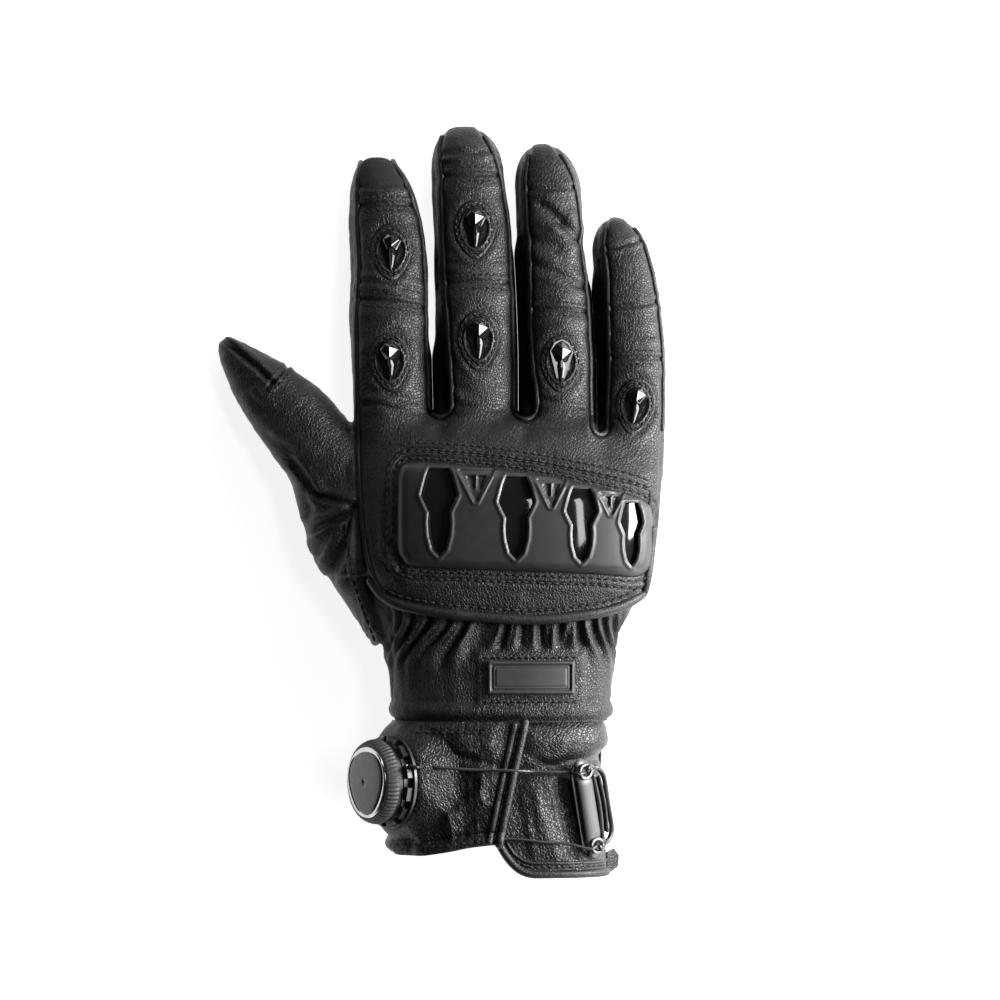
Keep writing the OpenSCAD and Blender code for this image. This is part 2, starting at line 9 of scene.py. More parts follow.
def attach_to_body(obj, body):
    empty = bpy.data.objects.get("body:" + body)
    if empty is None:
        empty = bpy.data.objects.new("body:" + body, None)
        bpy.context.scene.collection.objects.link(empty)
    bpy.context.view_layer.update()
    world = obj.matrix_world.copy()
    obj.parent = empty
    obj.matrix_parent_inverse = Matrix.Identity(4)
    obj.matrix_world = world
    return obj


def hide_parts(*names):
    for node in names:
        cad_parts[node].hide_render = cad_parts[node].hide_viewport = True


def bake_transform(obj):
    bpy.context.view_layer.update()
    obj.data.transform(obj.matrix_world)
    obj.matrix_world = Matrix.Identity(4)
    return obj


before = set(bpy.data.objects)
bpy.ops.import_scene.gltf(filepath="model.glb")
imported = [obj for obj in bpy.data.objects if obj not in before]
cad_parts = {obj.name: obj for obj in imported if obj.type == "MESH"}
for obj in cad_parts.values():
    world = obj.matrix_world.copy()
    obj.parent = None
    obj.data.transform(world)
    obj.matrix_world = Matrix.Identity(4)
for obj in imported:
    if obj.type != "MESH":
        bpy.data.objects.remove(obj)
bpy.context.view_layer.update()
TAU = 2 * math.pi


# ---------------------------------------------------------------- numbers
def tab(y, pts):
    """Smooth interpolation through (position, value) pairs, level past both ends."""
    p = np.array(pts, float)
    x, v = p[:, 0], p[:, 1]
    y = np.clip(np.asarray(y, float), x[0], x[-1])
    d = np.diff(v) / np.diff(x)
    m = np.zeros(len(x))
    same = d[:-1] * d[1:] > 0
    m[1:-1] = np.where(same, 2 * d[:-1] * d[1:] / np.where(same, d[:-1] + d[1:], 1), 0)
    m[0], m[-1] = d[0], d[-1]
    i = np.clip(np.searchsorted(x, y) - 1, 0, len(x) - 2)
    h = x[i + 1] - x[i]
    t = (y - x[i]) / h
    return ((1 + 2 * t) * (1 - t) ** 2 * v[i] + t * (1 - t) ** 2 * h * m[i]
            + t * t * (3 - 2 * t) * v[i + 1] + t * t * (t - 1) * h * m[i + 1])


def step(x, a, b):
    """0 before a, 1 after b, and smooth between."""
    t = np.clip((np.asarray(x, float) - a) / (b - a), 0, 1)
    return t * t * (3 - 2 * t)


def between(x, a, b, c, d):
    """Up from 0 at a to 1 at b, and down again from c to d."""
    return step(x, a, b) * (1 - step(x, c, d))


def bump(x, w):
    """A smooth hump of height 1, w wide."""
    return np.exp(-(np.asarray(x, float) / w) ** 2)


def spow(v, e):
    """A power that keeps the sign."""
    return np.sign(v) * np.abs(v) ** e


def noise(p, cell, seed=0):
    """Smooth value noise from -1 to 1 with lumps about cell mm across."""
    p = np.asarray(p, float) / cell
    i = np.floor(p).astype(np.int64)
    f = p - i
    f = f * f * (3 - 2 * f)
    out = 0.0
    for a in (0, 1):
        for b in (0, 1):
            for c in (0, 1):
                k = ((i[:, 0] + a) * 73856093) ^ ((i[:, 1] + b) * 19349663) ^ ((i[:, 2]
                        + c) * 83492791) ^ (seed * 2654435)
                k = (k ^ (k >> 11)) & 0xFFFFFFF
                k = (k * 1103515 + 12345) & 0xFFFFFFF
                k = (k ^ (k >> 9)) & 0xFFFF
                w = (f[:, 0] if a else 1 - f[:, 0]) * (f[:, 1] if b else 1 - f[:, 1]) * (f[:, 2] if c else 1
                        - f[:, 2])
                out = out + w * (k / 32767.5 - 1)
    return out


def unit(v):
    return v / np.maximum(np.linalg.norm(v, axis=-1, keepdims=True), 1e-12)


def poly_sdf(p, poly):
    """Signed distance from points p (n,2) to a polygon: positive inside."""
    poly = np.asarray(poly, float)
    best = np.full(len(p), 1e9)
    inside = np.zeros(len(p), bool)
    for a, b in zip(poly, np.roll(poly, -1, 0)):
        e = b - a
        w = p - a
        t = np.clip((w @ e) / max(e @ e, 1e-9), 0, 1)
        best = np.minimum(best, np.linalg.norm(w - t[:, None] * e, axis=1))
        c = (a[1] > p[:, 1]) != (b[1] > p[:, 1])
        with np.errstate(divide="ignore", invalid="ignore"):
            x = a[0] + (p[:, 1] - a[1]) * e[0] / (e[1] if e[1] else 1e-12)
        inside ^= c & (p[:, 0] < x)
    return np.where(inside, best, -best)


def spline(points, spacing):
    """Points every spacing mm or so along a Catmull-Rom curve."""
    k = np.asarray(points, float)
    k = np.vstack([2 * k[0] - k[1], k, 2 * k[-1] - k[-2]])
    out = []
    for i in range(1, len(k) - 2):
        a, b, c, d = k[i - 1], k[i], k[i + 1], k[i + 2]
        n = max(2, int(np.linalg.norm(c - b) / spacing * 2))
        u = (np.arange(n) / n)[:, None]
        out.append(b + 0.5 * u * ((c - a) + u * (2 * a - 5 * b + 4 * c - d + u * (3 * (b - c) + d - a))))
    out = np.vstack(out + [k[-2:-1]])
    return resample(out, spacing)


def resample(p, spacing):
    """The same line with its points spacing mm apart, or close to it."""
    p = np.asarray(p, float)
    s = np.concatenate([[0], np.cumsum(np.linalg.norm(np.diff(p, axis=0), axis=1))])
    n = max(2, int(round(s[-1] / spacing)) + 1)
    t = np.linspace(0, s[-1], n)
    return np.stack([np.interp(t, s, p[:, k]) for k in range(p.shape[1])], 1)


# ---------------------------------------------------------------- meshes
def mesh(name, V, F, mat, normals=None, smooth=True):
    """A mesh object from points in mm and faces, an array or a list of arrays of 3 or 4 indices."""
    F = F if isinstance(F, list) else [F]
    F = [np.asarray(f, np.int32) for f in F if len(f)]
    me = bpy.data.meshes.new(name)
    V = np.asarray(V, np.float32) * 0.001
    me.vertices.add(len(V))
    me.vertices.foreach_set("co", V.ravel())
    total = np.concatenate([np.full(len(f), f.shape[1], np.int32) for f in F])
    loops = np.concatenate([f.ravel() for f in F])
    me.loops.add(len(loops))
    me.loops.foreach_set("vertex_index", loops)
    me.polygons.add(len(total))
    me.polygons.foreach_set("loop_start", np.concatenate([[0], np.cumsum(total)[:-1]]).astype(np.int32))
    me.polygons.foreach_set("loop_total", total)
    me.update(calc_edges=True)
    me.polygons.foreach_set("use_smooth", np.full(len(total), bool(smooth)))
    if normals is not None:
        me.normals_split_custom_set_from_vertices(unit(np.asarray(normals, float)).tolist())
    o = bpy.data.objects.new(name, me)
    bpy.context.scene.collection.objects.link(o)
    if mat:
        me.materials.append(mat)
    return o


def grid_faces(m, n, wrap=False, flip=False):
    """The quads of an m by n grid of points, closed on itself across n if wrap."""
    i, j = np.meshgrid(np.arange(m - 1), np.arange(n if wrap else n - 1), indexing="ij")
    a = i * n + j
    b = i * n + (j + 1) % n
    q = np.stack([a, b, b + n, a + n], -1).reshape(-1, 4)
    return q[:, ::-1] if flip else q


def vertex_normals(V, T):
    n = np.cross(V[T[:, 1]] - V[T[:, 0]], V[T[:, 2]] - V[T[:, 0]])
    out = np.zeros_like(V)
    for k in range(3):
        np.add.at(out, T[:, k], n)
    return unit(out)


def tris(F):
    F = np.asarray(F)
    return F if F.shape[1] == 3 else np.vstack([F[:, [0, 1, 2]], F[:, [0, 2, 3]]])


def clip(T, A, f):
    """The part of a triangle mesh with vertex values A where f > 0, cut cleanly along f = 0."""
    f = np.where(np.abs(f) < 1e-6, 1e-6, f)
    keep = f > 0
    inside = keep[T].sum(1)
    whole = T[inside == 3]
    new_pts, cache = [], {}

    def cut(i, j):
        key = (i, j) if i < j else (j, i)
        if key not in cache:
            cache[key] = len(A) + len(new_pts)
            a, b = key
            t = f[a] / (f[a] - f[b])
            new_pts.append(A[a] + t * (A[b] - A[a]))
        return cache[key]

    extra = []
    for t in T[(inside == 1) | (inside == 2)].tolist():
        k = [keep[v] for v in t]
        if sum(k) == 1:
            r = k.index(True)
            a, b, c = t[r], t[(r + 1) % 3], t[(r + 2) % 3]
            extra.append((a, cut(a, b), cut(a, c)))
        else:
            r = k.index(False)
            a, b, c = t[r], t[(r + 1) % 3], t[(r + 2) % 3]
            p, q = cut(a, b), cut(a, c)
            extra += [(p, b, c), (p, c, q)]
    allA = np.vstack([A] + ([np.array(new_pts)] if new_pts else []))
    allT = np.vstack([whole] + ([np.array(extra, int)] if extra else []))
    used = np.unique(allT)
    back = np.zeros(len(allA), int)
    back[used] = np.arange(len(used))
    return back[allT], allA[used]


def border(T):
    """The directed boundary edges of a triangle mesh."""
    e = np.vstack([T[:, [0, 1]], T[:, [1, 2]], T[:, [2, 0]]])
    key = np.sort(e, 1)
    _, inv, cnt = np.unique(key[:, 0].astype(np.int64) * (T.max() + 1) + key[:, 1], return_inverse=True,
                            return_counts=True)
    return e[cnt[inv] == 1]


def shell(name, T, Q, N, thick, mat):
    """A closed skin: the outer surface Q, an inner one thick mm inside it, and a rim along the open edges."""
    n = len(Q)
    t = np.asarray(thick, float)
    inner = Q - N * (t[:, None] if t.ndim else t)
    e = border(T)
    rim = np.stack([e[:, 1], e[:, 0], e[:, 0] + n, e[:, 1] + n], 1)
    return mesh(name, np.vstack([Q, inner]), [T, T[:, ::-1] + n, rim], mat, np.vstack([N, -N]))


def contour(T, P, f):
    """The lines f = 0 on a triangle mesh, each a chain of points."""
    f = np.where(np.abs(f) < 1e-6, 1e-6, f)
    s = f > 0
    mixed = T[(s[T].sum(1) % 3) != 0]
    pts, links = {}, {}
    for t in mixed.tolist():
        ks = []
        for i, j in ((t[0], t[1]), (t[1], t[2]), (t[2], t[0])):
            if s[i] != s[j]:
                key = (i, j) if i < j else (j, i)
                if key not in pts:
                    a, b = key
                    u = f[a] / (f[a] - f[b])
                    pts[key] = P[a] + u * (P[b] - P[a])
                ks.append(key)
        if len(ks) == 2:
            links.setdefault(ks[0], []).append(ks[1])
            links.setdefault(ks[1], []).append(ks[0])
    chains, seen = [], set()
    ends = [k for k in links if len(links[k]) == 1]
    for k0 in ends + list(links):
        if k0 in seen:
            continue
        chain, k = [k0], k0
        seen.add(k0)
        while True:
            nxt = [m for m in links[k] if m not in seen]
            if not nxt:
                break
            k = nxt[0]
            seen.add(k)
            chain.append(k)
        if len(chain) > 8:
            chains.append(np.array([pts[k] for k in chain]))
    return chains


def sweep(name, path, radius, mat, sides=10, up=None, flat=1.0, ends=True, slot=None, build=True):
    """A tube along a path. radius may be one number or one per point; flat squeezes it along up."""
    p = np.asarray(path, float)
    m = len(p)
    r = np.broadcast_to(np.asarray(radius, float), (m,)).copy()
    w = unit(np.gradient(p, axis=0))
    if up is None:
        u = np.cross(w[0], [0.0, 0, 1])
        if np.linalg.norm(u) < 0.1:
            u = np.cross(w[0], [0.0, 1, 0])
        us = [unit(u)]
        for k in range(1, m):
            v = us[-1] - w[k] * (us[-1] @ w[k])
            us.append(unit(v))
        u = np.array(us)
        v = np.cross(w, u)
    else:
        v = np.broadcast_to(np.asarray(up, float), p.shape)
        v = unit(v - w * np.sum(v * w, 1, keepdims=True))
        u = np.cross(v, w)
    a = np.arange(sides) / sides * TAU
    if ends:
        q = np.array([0.0, 0.5, 0.85, 1.0])
        cap = np.sqrt(np.clip(1 - (1 - q) ** 2, 0.02, 1))
        head = p[0] - w[0] * r[0] * (1 - q)[:, None]
        tail = p[-1] + w[-1] * r[-1] * (1 - q[::-1])[:, None]
        p = np.vstack([head[:-1], p, tail[1:]])
        r = np.concatenate([r[0] * cap[:-1], r, r[-1] * cap[::-1][1:]])
        u = np.vstack([np.repeat(u[:1], 3, 0), u, np.repeat(u[-1:], 3, 0)])
        v = np.vstack([np.repeat(v[:1], 3, 0), v, np.repeat(v[-1:], 3, 0)])
        m = len(p)
    across, out = np.cos(a)[None, :, None] * u[:, None], np.sin(a)[None, :, None] * v[:, None]
    V = (p[:, None] + r[:, None, None] * (across + flat * out)).reshape(-1, 3)
    F = grid_faces(m, sides, True)
    V = np.vstack([V, p[0] - w[0] * 0.001, p[-1] + w[-1] * 0.001])
    c0, c1 = len(V) - 2, len(V) - 1
    j = np.arange(sides)
    caps = np.vstack([np.stack([np.full(sides, c0), (j + 1) % sides, j], 1),
                      np.stack([np.full(sides, c1), (m - 1) * sides + j, (m - 1) * sides + (j + 1) % sides],
                               1)])
    if not build:
        return V, F, caps
    return mesh(name, V, [F, caps], mat)


def face_outwards(o):
    """Turn a mesh's faces to look outwards."""
    bm = bmesh.new()
    bm.from_mesh(o.data)
    bmesh.ops.recalc_face_normals(bm, faces=bm.faces)
    bm.to_mesh(o.data)
    bm.free()


def slab(outline, low, high):
    """The corners of an outline in plan at two heights."""
    return [(x, y, z) for z in (low, high) for x, y in outline]


def seen_from_above(tree, x, y):
    """Where a ray straight down over (x, y) meets a surface, and its normal there."""
    return tree.ray_cast(Vector((float(x), float(y), 90.0)), Vector((0, 0, -1)))[:2]


class Pile:
    """Several meshes gathered into one."""

    def __init__(self):
        self.V, self.Q, self.T, self.n = [], [], [], 0

    def add(self, V, F, T=None):
        self.V.append(np.asarray(V, float))
        F = np.asarray(F, int)
        (self.Q if F.shape[1] == 4 else self.T).append(F + self.n)
        if T is not None and len(T):
            self.T.append(np.asarray(T, int) + self.n)
        self.n += len(V)

    def tube(self, path, radius, **how):
        self.add(*sweep("", path, radius, None, build=False, **how))

    def build(self, name, mat, smooth=True, slot=None):
        F = ([np.vstack(self.Q)] if self.Q else []) + ([np.vstack(self.T)] if self.T else [])
        return mesh(name, np.vstack(self.V), F, mat, smooth=smooth)


# ---------------------------------------------------------------- materials
class Mat:
    """A node material, and short names for the nodes it is made from."""

    def __init__(self, name, **values):
        self.m = bpy.data.materials.new(name)
        self.m.use_nodes = True
        self.t = self.m.node_tree
        self.b = self.t.nodes["Principled BSDF"]
        self.c = self.node("ShaderNodeTexCoord").outputs["Object"]
        for k, v in values.items():
            self.b.inputs[k.replace("_", " ")].default_value = v

    def node(self, kind, **kw):
        n = self.t.nodes.new(kind)
        for k, v in kw.items():
            setattr(n, k, v)
        return n

    def link(self, a, b):
        self.t.links.new(a, b)

    def noise(self, scale, detail=3, rough=0.55):
        n = self.node("ShaderNodeTexNoise")
        n.inputs["Scale"].default_value = scale
        n.inputs["Detail"].default_value = detail
        n.inputs["Roughness"].default_value = rough
        self.link(self.c, n.inputs["Vector"])
        return n.outputs["Fac"]

    def voronoi(self, scale, feature="F1", rnd=1.0):
        n = self.node("ShaderNodeTexVoronoi", feature=feature)
        n.inputs["Scale"].default_value = scale
        n.inputs["Randomness"].default_value = rnd
        self.link(self.c, n.inputs["Vector"])
        return n.outputs["Distance"]

    def ramp(self, fac, stops):
        n = self.node("ShaderNodeValToRGB")
        el = n.color_ramp.elements
        while len(el) < len(stops):
            el.new(0.5)
        for e, (p, c) in zip(el, stops):
            e.position = p
            e.color = (*c, 1)
        self.link(fac, n.inputs["Fac"])
        return n.outputs["Color"]

    def range(self, fac, lo, hi, a=0.0, b=1.0):
        n = self.node("ShaderNodeMapRange")
        self.link(fac, n.inputs["Value"])
        for k, v in zip(("From Min", "From Max", "To Min", "To Max"), (a, b, lo, hi)):
            n.inputs[k].default_value = v
        return n.outputs["Result"]

    def math(self, op, a, b):
        n = self.node("ShaderNodeMath", operation=op)
        for s, v in zip(n.inputs, (a, b)):
            if isinstance(v, (int, float)):
                s.default_value = v
            else:
                self.link(v, s)
        return n.outputs["Value"]

    def bumps(self, layers):
        last = None
        for height, distance, strength in layers:
            n = self.node("ShaderNodeBump")
            n.inputs["Distance"].default_value = distance
            n.inputs["Strength"].default_value = strength
            self.link(height, n.inputs["Height"])
            if last:
                self.link(last, n.inputs["Normal"])
            last = n.outputs["Normal"]
        self.link(last, self.b.inputs["Normal"])

    def color(self, sock):
        self.link(sock, self.b.inputs["Base Color"])

    def rough(self, sock):
        self.link(sock, self.b.inputs["Roughness"])


def leather(name, dark, light, rough, grain=1.0, scale=1.0):
    """Grained leather: pebbles with fine creases between them, pores, and slow changes of tone and gloss."""
    m = Mat(name)
    tone = m.noise(55, 4, 0.6)
    m.color(m.ramp(tone, [(0.3, dark), (0.72, light)]))
    pebble = m.voronoi(1050 * scale, "DISTANCE_TO_EDGE")
    crease = m.ramp(pebble, [(0.0, (0, 0, 0)), (0.16, (0.75, 0.75, 0.75)), (0.5, (1, 1, 1))])
    fine = m.voronoi(2300 * scale, "F1")
    mottle = m.noise(700, 3, 0.6)
    m.rough(m.math("ADD", m.range(m.noise(160, 3, 0.6), rough[0], rough[1]), m.range(crease, 0.1, 0.0)))
    m.bumps([(m.noise(90, 3, 0.5), 0.0012, 0.3 * grain), (crease, 0.00028, 0.55 * grain),
             (fine, 0.0001, 0.14 * grain), (mottle, 0.00025, 0.16 * grain)])
    m.b.inputs["IOR"].default_value = 1.42
    return m.m


def plastic(name, col, col2, rough, bump_scale=900, bump=0.15, coat=0.0):
    """Moulded plastic, rubber or thread, with a fine texture and uneven gloss."""
    m = Mat(name)
    m.color(m.ramp(m.noise(90, 3), [(0.3, col), (0.7, col2)]))
    m.rough(m.range(m.noise(260, 4, 0.65), rough[0], rough[1], 0.3, 0.7))
    m.bumps([(m.noise(bump_scale, 3, 0.6), 0.00012, bump), (m.noise(140, 2), 0.0003, bump * 0.4)])
    if coat:
        m.b.inputs["Coat Weight"].default_value = coat
        m.b.inputs["Coat Roughness"].default_value = 0.06
    return m.m


def knit(name, col, col2, scale):
    """Knitted cloth: small cells with a soft sheen."""
    m = Mat(name)
    cell = m.voronoi(scale, "F1", rnd=0.35)
    m.color(m.ramp(cell, [(0.1, col2), (0.6, col)]))
    m.rough(m.range(m.noise(300), 0.75, 0.95))
    m.bumps([(cell, 0.0003, 0.6), (m.noise(200), 0.0006, 0.3)])
    m.b.inputs["Sheen Weight"].default_value = 0.25
    m.b.inputs["Sheen Roughness"].default_value = 0.5
    return m.m


def metal(name, col, rough):
    """Brushed metal with fine scratches."""
    m = Mat(name, Metallic=1.0)
    m.color(m.ramp(m.noise(400, 3), [(0.3, col), (0.7, tuple(min(1, c * 1.25) for c in col))]))
    m.rough(m.range(m.noise(900, 3), rough * 0.7, rough * 1.4))
    m.bumps([(m.noise(1500, 2), 0.00005, 0.2)])
    return m.m


LEATHER = leather("leather", (0.00217, 0.00217, 0.002294), (0.00558, 0.005518, 0.00558), (0.36, 0.48))
CUFF = leather("leather_cuff", (0.00248, 0.00248, 0.002604), (0.00496, 0.004898, 0.00496), (0.3, 0.42),
               0.95, 0.9)
WELT = leather("leather_edge", (0.00434, 0.00434, 0.004526), (0.00992, 0.00992, 0.01011), (0.34, 0.48), 0.6)
THUMB = leather("leather_thumb", (0.00341, 0.002852, 0.003224), (0.00806, 0.006696, 0.007316), (0.32, 0.46))
SUEDE = leather("suede_tip", (0.00372, 0.00279, 0.003534), (0.00744, 0.005704, 0.007068), (0.7, 0.9), 1.2,
                1.6)
STITCH = plastic("thread", (0.002, 0.002, 0.0021), (0.004, 0.004, 0.0041), (0.7, 0.85), 2600, 0.3)
LINING = knit("lining", (0.02, 0.02, 0.021), (0.045, 0.045, 0.047), 1100)
STRETCH = knit("stretch", (0.012, 0.009, 0.013), (0.03, 0.022, 0.03), 1500)
GUARD = plastic("guard_rubber", (0.009, 0.009, 0.0093), (0.014, 0.014, 0.0143), (0.4, 0.5))
GLOSS = plastic("gloss_armour", (0.006, 0.006, 0.0065), (0.009, 0.009, 0.0095), (0.05, 0.12), 500, 0.04,
                0.6)
RUBBER = plastic("rubber", (0.015, 0.015, 0.0155), (0.022, 0.022, 0.0225), (0.5, 0.68), 1300, 0.25)
STEEL = metal("steel", (0.13, 0.13, 0.133), 0.32)
TRIM = metal("trim", (0.4, 0.4, 0.41), 0.18)
BAR = plastic("guide_bar", (0.035, 0.035, 0.036), (0.055, 0.055, 0.056), (0.36, 0.48), 700, 0.1)
FRAME = plastic("guide_frame", (0.014, 0.014, 0.0145), (0.022, 0.022, 0.0225), (0.26, 0.36), 700, 0.1)
CAP = plastic("dial_cap", (0.012, 0.012, 0.0125), (0.018, 0.018, 0.0185), (0.22, 0.32), 500, 0.05)
LACE = plastic("lace_coat", (0.014, 0.014, 0.0145), (0.03, 0.03, 0.031), (0.24, 0.36), 2200, 0.3)

# ---------------------------------------------------------------- the glove's measures, in mm
# The hand's left and right edges, underside and back, each against Y, and how square its section is
LEFT = [(-123, -17), (-95, -16.5), (-72, -16), (-56, -17), (-45, -20), (-32, -26), (-19, -28.5), (0, -29),
        (27, -29)]
RIGHT = [(-123, 55.4), (-95, 54.2), (-80, 54.3), (-72, 55.2), (-62, 55.8), (-50, 56.8), (-44, 58),
         (-38, 60.6), (-30, 66),
         (-19, 69.6), (0, 71.6), (14, 72.6), (27, 73)]
UNDER = [(-123, 0.6), (-95, 1.5), (-72, 3), (-56, 3.6), (-40, 2.4), (-28, 1.2), (0, 1.2), (14, 2.4),
         (27, 4)]
BACK = [(-123, 45), (-95, 44), (-72, 42), (-56, 40.5), (-42, 40.5), (-34, 41.4), (-19, 43), (0, 42),
        (14, 37.4), (27, 30.6)]
SQUARE = 2.5
SKIN = 1.2  # thickness of the leather
STAND = 2 / 2.25  # power that makes the fingers' section a little square
THUMB_X = -29.4  # the thumb's leather starts here
THUMB_ROOT, THUMB_MID = 28.5, 50  # the thumb's seams, along its axis
GATHER_END, BAND_END = -50, -71.2  # the Y where the gathers and the band end
CUFF_TOP = -71.0
TONGUE_D, FLAP_D = -1.2, 2.4  # how far the tongue and the flap stand out from the wrist's section
DIAL, DIAL_TILT = np.array([-15.12, -90.5, 35.43]), 57  # the dial's foot and the lean of its axis


def section(y, t, d=0.0):
    """A point of the hand's section at y, at angle t in degrees from the outer side, d outside it."""
    y, t, d = np.broadcast_arrays(np.asarray(y, float), np.radians(np.asarray(t, float)),
                                  np.asarray(d, float))
    l, r, u, k = tab(y, LEFT), tab(y, RIGHT), tab(y, UNDER), tab(y, BACK)
    return np.stack([(l + r) / 2 + ((r - l) / 2 + d) * spow(np.cos(t), 2 / SQUARE), y,
                     (u + k) / 2 + ((k - u) / 2 + d) * spow(np.sin(t), 2 / SQUARE)], -1)


# Each finger: its left and right edges as X against Y, the Y where it starts to round and that of its tip,
# how square the rounding is, how high the finger stands, and the Y of its root joint and of its two seams
FINGERS = {
    "index": dict(left=[(8, -28), (25, -28.6), (45, -29.2), (60, -30.2), (76, -29.6), (90, -30.2),
                        (100, -29.8), (114.5, -29.4)],
                  right=[(8, -3.4), (25, -3.6), (45, -4.4), (60, -4.1), (76, -4.4), (90, -5.8), (100, -8.2),
                         (105, -10), (114.5, -13.2)],
                  round=99.5, tip=113, power=2.9, high=1.0, root=31, seams=(67.8, 98.2)),
    "middle": dict(left=[(8, -1), (25, -1), (45, -1.6), (70, -2.2), (85, -2.4), (95, -2.9), (106, -3.2),
                         (123, -3)],
                   right=[(8, 23.6), (25, 23.8), (45, 24.1), (70, 23.6), (85, 23.1), (95, 22.1),
                          (106, 20.8), (123, 18.6)],
                   round=108.5, tip=123, power=2.6, high=1.0, root=31, seams=(70.8, 104.6)),
    "ring": dict(left=[(8, 27), (25, 26.8), (45, 26.5), (70, 25.7), (85, 24.9), (95, 24.4), (106, 24.2),
                       (117, 25)],
                 right=[(8, 50), (25, 49.8), (45, 49.5), (60, 48.8), (70, 48.0), (80, 46.9), (88, 46.5),
                        (95, 46.6), (103, 46.2), (110, 44.4), (117, 42)],
                 round=103, tip=117.3, power=2.9, high=0.98, root=31, seams=(62.5, 85.5)),
    "little": dict(left=[(8, 53.2), (25, 52.8), (45, 52.4), (60, 51.1), (76, 49.9), (85, 49.4), (93, 49.5)],
                   right=[(8, 72.8), (25, 73.2), (45, 73.2), (60, 72.4), (69, 71.3), (76, 70), (83, 68),
                          (93, 64.6)],
                   round=79.5, tip=93.3, power=2.4, high=0.86, root=28, seams=(48.2, 67.5)),
}
# Height of the fingers' backs and undersides against Y
TOP = [(8, 33), (22, 30.4), (31, 28.6), (50, 26.6), (70, 24.4), (90, 21.2), (105, 19), (124, 17)]
FOOT = [(8, 5), (31, 3.6), (60, 1.8), (80, 0.9), (124, 0.3)]


def finger_size(f, y):
    """Centre X, half width, centre Z and half height at y."""
    l, r = tab(y, f["left"]), tab(y, f["right"])
    foot = tab(y, FOOT)
    top = foot + (tab(y, TOP) - foot) * f["high"]
    u = np.clip((np.asarray(y, float) - f["round"]) / (f["tip"] - f["round"]), 0, 1)
    k = np.clip(1 - u ** f["power"], 0, 1) ** (1 / f["power"])
    return (l + r) / 2, (r - l) / 2 * k, (foot + top) / 2 - (1 - k) * 1.5, (top - foot) / 2 * (0.12
            + 0.88 * k)


# The thumb lies along its own axis: distance along it, and its edges across it
THUMB_O, THUMB_A = np.array([-26.0, -8.0, 0.0]), math.radians(36.5)
TU = np.array([-math.sin(THUMB_A), math.cos(THUMB_A), 0])
TV = np.array([math.cos(THUMB_A), math.sin(THUMB_A), 0])
THUMB_L = [(-34, -20.5), (-15, -19.8), (0, -19), (11, -15.4), (20, -12.2), (29, -9.4), (40, -9.6),
           (50, -9.2), (58, -8.4), (66, -7), (77, -5.5)]
THUMB_R = [(-34, 4), (-15, 14), (0, 18), (11, 19.5), (20, 19), (29, 17.4), (40, 16.4), (48, 15), (56, 11.8),
           (64, 8.4), (71, 6), (77, 4.5)]
THUMB_TOP = [(-34, 30), (-15, 33), (0, 32), (20, 29), (40, 25), (56, 21), (77, 16)]
THUMB_FOOT = [(-34, 3), (0, 2), (40, 1), (77, 1.5)]


def thumb_size(s):
    """The same for the thumb, at s along its axis."""
    l, r, top, foot = tab(s, THUMB_L), tab(s, THUMB_R), tab(s, THUMB_TOP), tab(s, THUMB_FOOT)
    u = np.clip((np.asarray(s, float) - 62) / (77 - 62), 0, 1)
    k = np.clip(1 - u ** 2.1, 0, 1) ** (1 / 2.1)
    return (l + r) / 2, (r - l) / 2 * k, (foot + top) / 2, (top - foot) / 2 * (0.15 + 0.85 * k)


def thumb_frame(p):
    """Distance along the thumb, distance across it, and height."""
    q = p - THUMB_O
    return q @ TU, q @ TV, q[:, 2]


def rings_mesh(R):
    """Vertices and faces of a closed loft of rings, with a point at each end."""
    m, n = R.shape[:2]
    V = np.vstack([R.reshape(-1, 3), R[0].mean(0), R[-1].mean(0)])
    j = np.arange(n)
    caps = np.vstack([np.stack([np.full(n, m * n), (j + 1) % n, j], 1),
                      np.stack([np.full(n, m * n + 1), (m - 1) * n + j, (m - 1) * n + (j + 1) % n], 1)])
    return V, grid_faces(m, n, True), caps


